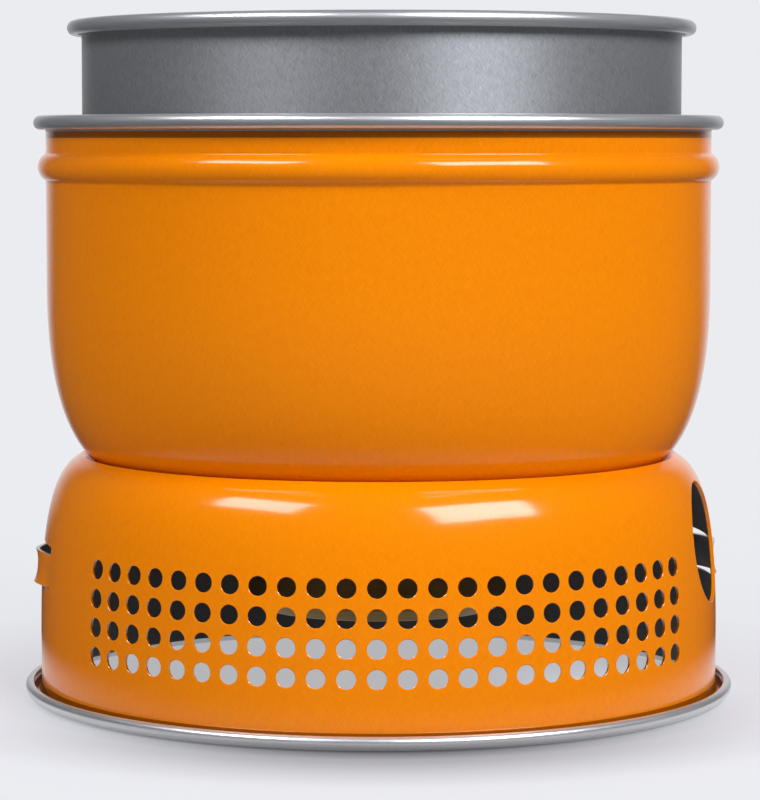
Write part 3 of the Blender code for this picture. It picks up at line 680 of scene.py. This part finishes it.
lowerSheet = {
    "wallRadius": 86.12, "height": 60.93, "shoulderSpan": 13.12, "shoulderReach": 11.9, "shoulderTop": 37.3,
    "shoulderStart": 14.7, "crestWidth": 1.6, "crestDrop": 0.6, "crestRun": 0.6, "crestPull": 0.7,
    "crestGap": 0.8, "floor": 52.65, "seatGap": 0.5, "burnerHole": 34.0, "thickness": 1.0, "columns": 228,
    "rimOut": 4.03, "rimHeight": 3.55, "rimBend": 0.6, "rimFlat": 1.2, "rimCurl": 1.4, "rimPull": 0.6,
    "rimEndAngle": 105, "coatEnd": 0.5, "creviceTop": 2.8,
    # each hole: radius, sides, and its chamfer or how it grows through the sheet
    "ventHole": (2.3, 28, (0.14, 0.0, 0.35, 0.45)), "hoseHole": (15.0, 72, 0.14), "airHole": (3.0, 24, 0.12),
    "ventColumns": 24, "ventRows": 4, "ventPitch": 360 / 76, "ventTop": 37.33, "ventRowPitch": 7.0,
    "hoseHeight": 40.15, "hoseAngle": 74.0, "airHoles": 12, "airCircle": 41.0,
    "loopAngles": (-84.0, 94.5), "slotHalfAngle": 9.0, "bowHalfAngle": 9.6, "loopHeight": 33.15,
    "loopHalf": 4.15, "slotAbove": 1.9, "slotBelow": 0.4, "slotChamfer": 0.08, "loopOut": 1.3,
    "loopFlare": 0.8, "tongueAngles": (30, 150, 270), "tongueRadius": 51.0, "tongueRise": 3.0,
    "tongueRoot": 0.4, "tongueBend": 0.9, "tongueSheet": 1.0, "tongueWidth": 10.0, "tongueTip": 1.5,
    "tongueLip": 3.5, "tongueBevel": 0.12,
}


def lowerOutline(size):
    wall, height, sheet = size["wallRadius"], size["height"], size["thickness"]
    dish = [p for p in sideways(bowlPoints(upperSheet, 60), size["seatGap"])
            if p[1] < height - size["crestDrop"]][::-1]
    floor = linePoints((size["burnerHole"], size["floor"]), (dish[0][0], size["floor"]), 14)
    crest = (dish[-1][0] + size["crestWidth"], height)
    slope = [dish[-1][k] - dish[-2][k] for k in (0, 1)]
    run = size["crestRun"] / hypot(*slope)
    lip = curvePoints((dish[-1], (dish[-1][0] + slope[0] * run, dish[-1][1] + slope[1] * run),
                       (crest[0] - size["crestPull"], crest[1]), crest), 6)
    top = wall - size["shoulderSpan"]
    shoulder = curvePoints(((top, height), (top + size["shoulderReach"], height),
                            (wall, size["shoulderTop"]), (wall, size["shoulderStart"])), 40)
    shoulder = [p for p in shoulder if p[0] > crest[0] + size["crestGap"]]
    # the rim turns out into a gutter: a bend, the flat to stand on and a curled lip
    bend, curl, pull = size["rimBend"], size["rimCurl"], size["rimPull"]
    lipCentre = (wall + size["rimOut"] - curl, size["rimHeight"] - curl)
    lipTurn = arcPoints(lipCentre, curl - sheet, 0, size["rimEndAngle"], 8)
    foot = elbow(shoulder[-1], (wall, sheet), (wall + bend + size["rimFlat"], sheet), bend, (6, 6, 2))
    side = curvePoints((foot[-1], (foot[-1][0] + pull, sheet), (lipTurn[0][0], lipTurn[0][1] - pull),
                        lipTurn[0]), 8)
    return joined(floor, dish, lip, shoulder, foot, side, lipTurn)


lowerLine = Outline(lowerOutline(lowerSheet))


def slotShape(size, bottom, top, grow):
    # A level slot with round ends above or below a strap loop
    half = radians(size["slotHalfAngle"]) * size["wallRadius"]
    radius = (top - bottom) / 2
    middle = (top + bottom) / 2
    above = linePoints((-half + radius, middle + radius + grow), (half - radius, middle + radius + grow), 24)
    right = arcPoints((half - radius, middle), radius + grow, 90, -90, 6)
    below = [(x, 2 * middle - y) for x, y in reversed(above)]
    left = [(-x, y) for x, y in reversed(right)]
    return above + right[1:-1] + below + left[1:-1]


def loopLift(angle, height):
    # The strips between the slots bow outward, most at their edges
    size = lowerSheet
    for middle in size["loopAngles"]:
        across = (angle - middle) / size["bowHalfAngle"]
        up = (height - size["loopHeight"]) / size["loopHalf"]
        if abs(across) < 1 and abs(up) < 1.005:
            bow = cos(across * pi / 2) ** 2
            return bow * (size["loopOut"] + size["loopFlare"] * abs(up) ** 3)
    return 0.0


lowerCoat = lowerLine.lengths[-1] - lowerSheet["coatEnd"]
# the enamel below this height, in the rim's gutter, carries painted shade
lowerPaintedShade = lowerLine.lengthWhere(1, lowerSheet["creviceTop"], fromEnd=False)
lowerDark = lowerLine.lengthWhere(1, 2 * lowerSheet["thickness"], fromEnd=False)


def lowerFinish(side, length):
    if side in ("cut", "end"):
        return 1
    if side in ("outer", "paintedCut"):
        # outside: enamel, then painted shade in the rim's gutter, then the bare lip
        return 0 if length < lowerPaintedShade else 3 if length < lowerCoat else 1
    return 2 if length < lowerDark else 1


def lowerOpenings(size):
    vents = []
    for column in range(size["ventColumns"]):
        angle = (column - (size["ventColumns"] - 1) / 2) * size["ventPitch"]
        for row in range(size["ventRows"]):
            vents.append(roundHole(wallLoop, lowerLine, angle, size["ventTop"] - row * size["ventRowPitch"],
                                   size["ventHole"], "paintedCut"))
    half = size["loopHalf"]
    spans = ((half, half + size["slotAbove"]), (-half - size["slotBelow"], -half))
    loops = [[newOpening(wallLoop, lowerLine, angle, size["loopHeight"],
                         lambda grow: slotShape(size, bottom, top, grow), size["slotChamfer"])
              for bottom, top in spans] for angle in size["loopAngles"]]
    # the hose opening lies so near the second strap loop that they are cut together
    loops[1].append(roundHole(wallLoop, lowerLine, size["hoseAngle"], size["hoseHeight"], size["hoseHole"],
                              "paintedCut"))
    air = [[roundHole(floorLoop, lowerLine, 360 * i / size["airHoles"], size["airCircle"], size["airHole"])]
           for i in range(size["airHoles"])]
    return [vents] + loops + air


def addTongues(mesh, size):
    # Folded tongues that the upper windshield's slots lock on, in the rim's finish
    build = bmesh.new()
    build.from_mesh(mesh)
    sheetFaces = len(mesh.polygons)
    base, top = size["floor"] - size["tongueRoot"], size["floor"] + size["tongueRise"]
    reach, bend = size["tongueRadius"], size["tongueBend"]
    path = elbow((reach, base), (reach, top), (reach + size["tongueLip"], top), bend, (1, 4, 4))
    for angle in size["tongueAngles"]:
        bentStrip(build, path, size["tongueSheet"], size["tongueWidth"], size["tongueTip"], turnTo(angle),
                  size["tongueBevel"])
    build.faces.ensure_lookup_table()
    for made in build.faces[sheetFaces:]:
        made.material_index = 1
    build.to_mesh(mesh)
    build.free()
    mapByFacing(mesh, sheetFaces)


lowerMesh = spunSheet("lowerWindshield", lowerLine, lowerSheet["columns"], lowerSheet["thickness"],
                      lowerOpenings(lowerSheet), loopLift, lowerFinish)
addTongues(lowerMesh, lowerSheet)
newPiece("lowerWindshield", lowerMesh, windshieldLook, "lower", "lower_windshield")
print("lower windshield made")


# Saucepan

panSheet = {
    "wallRadius": 75.65, "bottom": 102.9, "corner": 9.0, "thickness": 1.0, "columns": 228,
    "curlRadius": 77.5, "curlHeight": 168.1, "curlInside": 0.8, "neckDrops": (0.9, 1.2, 2.6),
    "rimDrop": 1.0, "offCentre": 0.8,
}


def panOutline(size):
    rim = rolledRim(size)
    wall, bottom = size["wallRadius"], size["bottom"]
    return joined(rim, elbow(rim[-1], (wall, bottom), (0.0, bottom), size["corner"], (16, 12, 12)))


panLine = Outline(panOutline(panSheet))
panRimEnd = panLine.lengthWhere(1, panSheet["curlHeight"] - panSheet["rimDrop"])


def panFinish(side, length):
    return 1 if side == "end" or length < panRimEnd else 0


panMesh = spunSheet("saucepan", panLine, panSheet["columns"], panSheet["thickness"], finish=panFinish)
panMesh.transform(Matrix.Translation((panSheet["offCentre"] * mm, 0, 0)))
newPiece("saucepanSheet", panMesh, (brushedPan, brightRim), "pan", "saucepan")
print("saucepan made")


# Wire ring and folding supports

supportSize = {
    "stations": (60, 180, 300), "wire": 1.0, "ringRadius": 83.456, "pivotRadius": 81.536, "height": 133.4,
    "straight": 7.6, "runOut": 8.0, "split": 4.0, "width": 14.0, "thickness": 1.2, "arm": 30.8, "foot": 18.0,
    "curl": 1.9, "jog": (1.6, 2.6, 5.0), "bend": 2.0, "tip": 4.0,
}


def wirePoints(size):
    # A straight stretch for each support, arcs between them, and a split in the last arc
    stretch = []
    for along in (-size["straight"] - size["runOut"], -size["straight"], size["straight"],
                  size["straight"] + size["runOut"]):
        out = size["pivotRadius"]
        if abs(along) > size["straight"]:
            out = math.sqrt(size["ringRadius"] ** 2 - along ** 2)
        stretch.append((along, out))
    points = []
    halfSplit = degrees(size["split"] / size["ringRadius"]) / 2
    reach = degrees(math.atan2(stretch[-1][0], stretch[-1][1]))
    for station in size["stations"]:
        for along, out in stretch:
            points.append((station + degrees(math.atan2(along, out)), hypot(along, out)))
        start, end = station + reach, station + 120 - reach
        if station == size["stations"][-1]:
            end = station + 60 - halfSplit
        steps = round((end - start) / 3)
        points += [(start + (end - start) * i / steps, size["ringRadius"]) for i in range(1, steps + 1)]
        if station != size["stations"][-1]:
            points.pop()
    start, end = halfSplit, size["stations"][0] - reach
    lead = [(start + (end - start) * i / 13, size["ringRadius"]) for i in range(13)]
    return lead + points


wirePath = [placeAt(angle, out, supportSize["height"]) for angle, out in wirePoints(supportSize)]
wireMesh = meshOfCurve("wire", [wirePath], False, dimensions="3D", bevel_depth=supportSize["wire"] * mm,
                       bevel_resolution=4, use_fill_caps=True)
newPiece("supportWire", wireMesh, (steel,), "upper", "support_ring")


def supportPath(size):
    # From the end of the curl round the wire, down the arm and along the foot
    curl = arcPoints((0, 0), size["curl"], -80, 180, 20)
    first, second, armTop = size["jog"]
    jog = curvePoints((curl[-1], (-size["curl"], -first), (0, -second), (0, -armTop)), 6)
    low = -size["arm"] - size["thickness"] / 2
    end = -size["thickness"] / 2 - size["foot"]
    arm = elbow((0, -armTop), (0, low), (end + size["tip"], low), size["bend"], (4, 6, 3))
    tip = [(end + size["tip"] * (1 - sin(radians(a))), low) for a in range(0, 91, 15)]
    return joined(curl, jog, arm, tip)


for number, station in enumerate(supportSize["stations"], 1):
    strip = bmesh.new()
    placing = turnTo(station) @ Matrix.Translation(
        (supportSize["pivotRadius"] * mm, 0, supportSize["height"] * mm))
    bentStrip(strip, supportPath(supportSize), supportSize["thickness"], supportSize["width"],
              supportSize["tip"], placing)
    stripMesh = bpy.data.meshes.new("support")
    strip.to_mesh(stripMesh)
    strip.free()
    newPiece(f"panSupport{number}", stripMesh, (steel,), f"support_{number}", f"pan_support_{number}")
print("supports made")


# Spirit burner

burnerSize = {
    "radius": 33.4, "sheet": 0.8, "bottom": 21.4, "collarBottom": 52.95, "collarRadius": 37.0,
    "collarTop": 54.2, "shoulder": 55.9, "neck": 30.0, "neckTop": 65.4, "corner": 3.0, "edge": 0.5,
    "columns": 144, "threadTop": 60.0, "threadBottom": 56.6, "threadPitch": 1.6, "threadDepth": 0.6,
    "threadRows": 44, "threadFade": 0.5,
    "well": 20.0, "jets": 24, "jetCircle": 25.0, "jetHole": (0.75, 12, 0.08),
    "flangeTop": 66.5, "flangeBend": 1.4, "insideFoot": 22.5,
    "wickTop": 57.5, "wickGap": 0.3, "wickEdge": 1.5, "wickSwing": 0.12,
}


def burnerOutline(size):
    sheet, inside = size["sheet"], size["radius"] - size["sheet"]
    neckInside = size["neck"] - size["sheet"]
    corners = [
        (0.0, size["bottom"] + sheet), (inside - size["corner"], size["bottom"] + sheet),
        (inside, size["bottom"] + size["corner"] + sheet), (inside, size["collarBottom"] - sheet),
        (neckInside, size["shoulder"] - sheet / 2), (neckInside, size["neckTop"]),
        (size["neck"], size["neckTop"]), (size["neck"], size["shoulder"]),
        (size["collarRadius"], size["collarTop"]),
        (size["collarRadius"], size["collarBottom"]), (size["radius"], size["collarBottom"]),
        (size["radius"], size["bottom"] + size["corner"]), (size["radius"] - size["corner"], size["bottom"]),
        (0.0, size["bottom"]),
    ]
    line = rounded(corners, size["edge"])
    # rows close enough to carry the thread
    made = []
    for a, b in zip(line, line[1:] + line[:1]):
        made.append(a)
        if a[0] == b[0] == size["neck"] and a[1] > b[1]:
            made += linePoints(a, b, size["threadRows"])[1:-1]
    return made


def threadShape(angle, r, z):
    size = burnerSize
    if abs(r - size["neck"]) > 0.01 or not size["threadBottom"] < z < size["threadTop"]:
        return r
    fade = size["threadFade"]
    ends = min(z - size["threadBottom"], size["threadTop"] - z, fade) / fade
    wave = 0.5 - 0.5 * cos(2 * pi * (z / size["threadPitch"] - angle / 360))
    return r - size["threadDepth"] * ends * wave


bodyMesh = turnedSolid("burnerBody", burnerOutline(burnerSize), burnerSize["columns"], threadShape)
newPiece("burnerCup", bodyMesh, (brass,), "burner", "burner_body")

def jetOutline(size):
    # Up the well's wall and out over the wick, to the neck
    inside, foot, top = size["well"] - size["sheet"], size["insideFoot"], size["flangeTop"]
    return elbow((inside, foot), (inside, top), (size["neck"], top), size["flangeBend"], (12, 6, 8))


jetLine = Outline(jetOutline(burnerSize))
jetGroups = [[roundHole(floorLoop, jetLine, 360 * (i + 0.5) / burnerSize["jets"], burnerSize["jetCircle"],
                        burnerSize["jetHole"])] for i in range(burnerSize["jets"])]
jetMesh = spunSheet("burnerJetRing", jetLine, 120, burnerSize["sheet"], jetGroups, edge=0.08)
newPiece("burnerInnerWall", jetMesh, (brass,), "burner", "burner_jet_ring")


def wickOutline(size):
    inner, outer = size["well"] + size["wickGap"], size["neck"] - size["sheet"] - size["wickGap"]
    top, foot = size["wickTop"], size["insideFoot"]
    return rounded([(inner, top), (outer, top), (outer, foot), (inner, foot)], size["wickEdge"])


def feltShape(angle, r, z):
    # Felt isn't quite round
    swing = burnerSize["wickSwing"]
    return r - swing + swing * sin(radians(angle * 17)) * sin(z)


wickMesh = turnedSolid("burnerWick", wickOutline(burnerSize), 96, feltShape)
newPiece("burnerWick", wickMesh, (cotton,), "burner", "burner_wick")
print("burner made")


# Simmer ring, its cover and their rivet

simmerSize = {
    "opening": 14.0, "top": 67.8, "outer": 31.3, "bottom": 60.4, "sheet": 1.0, "corner": 1.4,
    "pivot": 16.6, "rivetHole": (1.5, 16, 0.08), "coverHole": (1.5, 24),
    "coverBottom": 68.1, "coverSheet": 0.8, "coverRadius": 15.5, "coverSides": 180,
    "coverEdge": 0.15, "ear": 3.6, "earPower": 40,
    "tabReach": 22.0, "tabWidth": 8.0, "tabTop": 75.4, "tabBend": 1.2, "tabTip": 1.5, "tabBevel": 0.12,
    "tabRoot": 0.5, "tabThinner": 0.02,
    "rivetRadius": 1.2, "rivetHead": 2.0, "headHeight": 0.8, "headGap": 0.3, "headEdge": 0.3,
}


def simmerOutline(size):
    top, outer = size["top"], size["outer"]
    return elbow((size["opening"], top), (outer, top), (outer, size["bottom"]), size["corner"], (10, 6, 5))


simmerLine = Outline(simmerOutline(simmerSize))
rivetGroup = [[roundHole(floorLoop, simmerLine, 90, simmerSize["pivot"], simmerSize["rivetHole"])]]
simmerMesh = spunSheet("simmerRing", simmerLine, 144, simmerSize["sheet"], rivetGroup, edge=0.1)
newPiece("simmerRing", simmerMesh, (brass,), "simmer", "simmer_ring")


def coverRadius(size, turn):
    # The disc and its ear round the rivet, run together
    disc = size["coverRadius"]
    across = size["pivot"] * sin(turn)
    if abs(across) > size["ear"] or cos(turn) < 0:
        return disc
    ear = size["pivot"] * cos(turn) + math.sqrt(size["ear"] ** 2 - across ** 2)
    power = size["earPower"]
    return (disc ** power + ear ** power) ** (1 / power)


def coverLoops(size):
    disc = []
    for i in range(size["coverSides"]):
        turn = 2 * pi * i / size["coverSides"]
        radius = coverRadius(size, turn)
        disc.append((radius * cos(turn) * mm, radius * sin(turn) * mm, 0))
    hole = [((size["pivot"] + x) * mm, y * mm, 0) for x, y in ring(*size["coverHole"])]
    return [disc, hole]


def addTab(mesh, size, middle):
    # The upright tab by which the cover is swung
    build = bmesh.new()
    build.from_mesh(mesh)
    out = size["tabReach"] - size["coverSheet"] / 2
    path = elbow((size["coverRadius"] - size["tabRoot"], 0), (out, 0), (out, size["tabTop"] - middle),
                 size["tabBend"], (4, 5, 8))
    placing = Matrix.Translation((0, 0, middle * mm)) @ Matrix.Rotation(pi, 4, "Z")
    bentStrip(build, path, size["coverSheet"] - size["tabThinner"], size["tabWidth"], size["tabTip"],
              placing, size["tabBevel"])
    bmesh.ops.remove_doubles(build, verts=build.verts, dist=sameSpot * mm)
    build.to_mesh(mesh)
    build.free()


coverMesh = meshOfCurve(
    "cover", coverLoops(simmerSize), True, dimensions="2D", fill_mode="BOTH",
    bevel_depth=simmerSize["coverEdge"] * mm, bevel_resolution=2,
    extrude=(simmerSize["coverSheet"] / 2 - simmerSize["coverEdge"]) * mm,
    offset=-simmerSize["coverEdge"] * mm)
coverMiddle = simmerSize["coverBottom"] + simmerSize["coverSheet"] / 2
coverMesh.transform(Matrix.Translation((0, 0, coverMiddle * mm)))
addTab(coverMesh, simmerSize, coverMiddle)
newPiece("simmerCover", coverMesh, (brass,), "cover", "simmer_cover")


def rivetOutline(size):
    shank, head, thick = size["rivetRadius"], size["rivetHead"], size["headHeight"]
    upper = size["coverBottom"] + size["coverSheet"] + size["headGap"]
    lower = size["top"] - size["sheet"] - size["headGap"]
    dome = curvePoints(((0.4, upper + thick), (1.3, upper + thick), (head, upper + 0.6), (head, upper)), 6)
    return [(0.0, upper + thick)] + dome + [
        (shank, upper), (shank, lower), (head, lower), (head, lower - 0.5),
        (head - size["headEdge"], lower - thick), (0.0, lower - thick)]


rivetMesh = turnedSolid("simmerRivet", rivetOutline(simmerSize), 32)
rivetMesh.transform(Matrix.Translation((simmerSize["pivot"] * mm, 0, 0)))
newPiece("simmerRivet", rivetMesh, (steel,), "simmer", "simmer_rivet")
print("simmer ring made")


# Stage: floor, surroundings, lamps and camera

stageLook = {
    "backdrop": "#EBECF0", "floorReach": 9.0, "floorDrop": 0.02, "floorTone": 0.85, "bounceTone": 0.46,
    # distance from the middle in metres, then how evenly the floor glows or how deep the painted contact
    # shade is
    "glowShares": ((0.0, 0.55), (0.082, 0.55), (0.088, 0.5), (0.12, 0.73), (0.16, 0.9), (0.3, 0.97),
                   (0.5, 1.0)),
    "contactShades": ((0.0, 0.0), (0.088, 0.8), (0.0925, 0.78), (0.095, 0.55), (0.101, 0.49),
                      (0.114, 0.25), (0.13, 0.02), (0.15, 0.0)),
    "contactPower": 2.0,
    "frontGlow": 0.06, "backGlow": 1.0, "glowTurn": 4.2, "glowStart": 0.8, "glowEnd": 0.99,
    "mirrorStart": 0.1, "mirrorEnd": 0.145,
    "frontFill": 0.21, "backFill": 0.95, "fillStart": 0.25, "fillEnd": 0.85,
}
backdropColour = linearColour(stageLook["backdrop"])
floorColour = tuple(c * stageLook["floorTone"] for c in backdropColour[:3]) + (1.0,)


def emptyTree(owner):
    # With the rays that see the plain backdrop, from the camera or through something, and glossy rays
    owner.use_nodes = True
    tree = owner.node_tree
    tree.nodes.clear()
    path = addNode(tree, "LightPath").outputs
    plain = addNode(tree, "Math", {0: path["Is Camera Ray"], 1: path["Is Transmission Ray"]},
                    operation="MAXIMUM")
    return tree, plain, path["Is Glossy Ray"]


def backGlow(tree, direction):
    # Reflections meet the pale backdrop where the camera does, behind the object, and a dim room in front
    turn = radians(stageLook["glowTurn"])
    behind = addNode(tree, "VectorMath", {0: direction, 1: (sin(turn), cos(turn), 0)},
                     operation="DOT_PRODUCT")
    return addNode(tree, "MapRange", {
        "Value": behind.outputs["Value"], "From Min": stageLook["glowStart"],
        "From Max": stageLook["glowEnd"], "To Min": stageLook["frontGlow"],
        "To Max": stageLook["backGlow"]}, interpolation_type="SMOOTHSTEP")


floorMaterial = bpy.data.materials.new("paleFloor")
tree, plainRay, glossyRay = emptyTree(floorMaterial)
spot = addNode(tree, "TexCoord").outputs["Object"]
away = addNode(tree, "VectorMath", {0: spot}, operation="LENGTH").outputs["Value"]
heading = addNode(tree, "VectorMath", {0: spot}, operation="NORMALIZE").outputs["Vector"]
levels = []
for stops in (stageLook["glowShares"], stageLook["contactShades"]):
    ramp = addNode(tree, "ValToRGB", {"Fac": away})
    elements = ramp.color_ramp.elements
    for index, (place, level) in enumerate(stops):
        stop = elements[index] if index < 2 else elements.new(place)
        stop.position = place
        stop.color = (level, level, level, 1.0)
    levels.append(ramp)
share, contact = levels
# the camera sees a sheet that glows evenly far away and takes the object's shadow near it, darkened further
# by a painted contact shade round the rim, deepest towards -Y
front = addNode(tree, "VectorMath", {0: heading, 1: (0, -1, 0)}, operation="DOT_PRODUCT")
front = addNode(tree, "Math", {0: front.outputs["Value"], 1: 0.0}, operation="MAXIMUM")
front = addNode(tree, "Math", {0: front, 1: stageLook["contactPower"]}, operation="POWER")
contact = addNode(tree, "Math", {0: contact, 1: front}, operation="MULTIPLY")
glowing = addNode(tree, "Emission", {"Color": backdropColour, "Strength": 1.0})
shaded = addNode(tree, "BsdfDiffuse", {"Color": floorColour})
dark = addNode(tree, "Emission", {"Color": (0, 0, 0, 1), "Strength": 0.0})
shown = addNode(tree, "MixShader", {0: share, 1: shaded, 2: glowing})
shown = addNode(tree, "MixShader", {0: contact, 1: shown, 2: dark})
# polished faces see the same sheet near the object and behind it, and a dim room in front
near = addNode(tree, "MapRange", {
    "Value": away, "From Min": stageLook["mirrorStart"], "From Max": stageLook["mirrorEnd"],
    "To Min": 1.0, "To Max": stageLook["frontGlow"]}, interpolation_type="SMOOTHSTEP")
pale = addNode(tree, "Math", {0: near, 1: backGlow(tree, heading)}, operation="MAXIMUM")
mirrored = addNode(tree, "MixShader", {0: pale, 1: dark, 2: shown})
bounce = addNode(tree, "BsdfDiffuse", {"Color": (stageLook["bounceTone"],) * 3 + (1.0,)})
whole = addNode(tree, "MixShader", {0: glossyRay, 1: bounce, 2: mirrored})
whole = addNode(tree, "MixShader", {0: plainRay, 1: whole, 2: shown})
addNode(tree, "OutputMaterial", {"Surface": whole})
floorMesh = bpy.data.meshes.new("floor")
far = stageLook["floorReach"]
floorMesh.from_pydata([(-far, -far, 0), (far, -far, 0), (far, far, 0), (-far, far, 0)], [], [(0, 1, 2, 3)])
floorMesh.materials.append(floorMaterial)
floor = addObject("floor", floorMesh)
floor.location.z = -stageLook["floorDrop"] * mm

world = bpy.data.worlds.new("studio")
bpy.context.scene.world = world
tree, plainRay, glossyRay = emptyTree(world)
spot = addNode(tree, "TexCoord").outputs["Generated"]
axes = addNode(tree, "SeparateXYZ", {0: spot})
# darker behind the camera, pale behind the object, as in a studio with one pale backdrop
fill = addNode(tree, "MapRange", {
    "Value": axes.outputs["Y"], "From Min": stageLook["fillStart"], "From Max": stageLook["fillEnd"],
    "To Min": stageLook["frontFill"], "To Max": stageLook["backFill"]}, interpolation_type="SMOOTHSTEP")
level = addNode(tree, "Mix", {"Factor": glossyRay, "A": fill, "B": backGlow(tree, spot)})
around = addNode(tree, "Background", {"Color": backdropColour, "Strength": level})
plain = addNode(tree, "Background", {"Color": backdropColour, "Strength": 1.0})
addNode(tree, "OutputWorld", {"Surface": addNode(tree, "MixShader", {0: plainRay, 1: around, 2: plain})})

# Each softbox: azimuth from the camera's side towards +X, elevation, size in metres, radiance
softboxes = {
    "rightSoftbox": {"azimuth": 39, "elevation": 40, "size": (0.95, 0.555), "radiance": 14.5},
    "leftSoftbox": {"azimuth": -53.5, "elevation": 46, "size": (0.78, 0.42), "radiance": 12.4},
    "rightStrip": {"azimuth": 57, "elevation": 70, "size": (0.6, 0.06), "radiance": 3.0},
    "leftStrip": {"azimuth": -60, "elevation": 70, "size": (0.4, 0.06), "radiance": 1.3},
}
lampDistance = 1.6
lampColour = (0.96, 1.0, 1.1)
aim = Vector((0, 0, 0.08))
for name, box in softboxes.items():
    light = bpy.data.lights.new(name, "AREA")
    light.shape = "RECTANGLE"
    light.size, light.size_y = box["size"]
    light.color = lampColour
    light.energy = box["radiance"] * pi * box["size"][0] * box["size"][1]
    lamp = addObject(name, light)
    turn, rise = radians(box["azimuth"]), radians(box["elevation"])
    side = Vector((sin(turn) * cos(rise), -cos(turn) * cos(rise), sin(rise)))
    lamp.location = aim + side * lampDistance
    lamp.rotation_euler = side.to_track_quat("Z", "Y").to_euler()

cameraSize = {
    "lens": 144.08, "sensor": 36.0, "place": (-30.2, -814.5, 140.16), "pitch": 85.356, "turn": -2.149,
}
cameraData = bpy.data.cameras.new("camera")
cameraData.lens = cameraSize["lens"]
cameraData.sensor_width = cameraSize["sensor"]
cameraData.sensor_fit = "AUTO"
camera = addObject("camera", cameraData)
camera.location = [c * mm for c in cameraSize["place"]]
camera.rotation_euler = (radians(cameraSize["pitch"]), 0, radians(cameraSize["turn"]))
bpy.context.scene.camera = camera
bpy.context.scene.view_settings.view_transform = "Standard"
print("stage made")
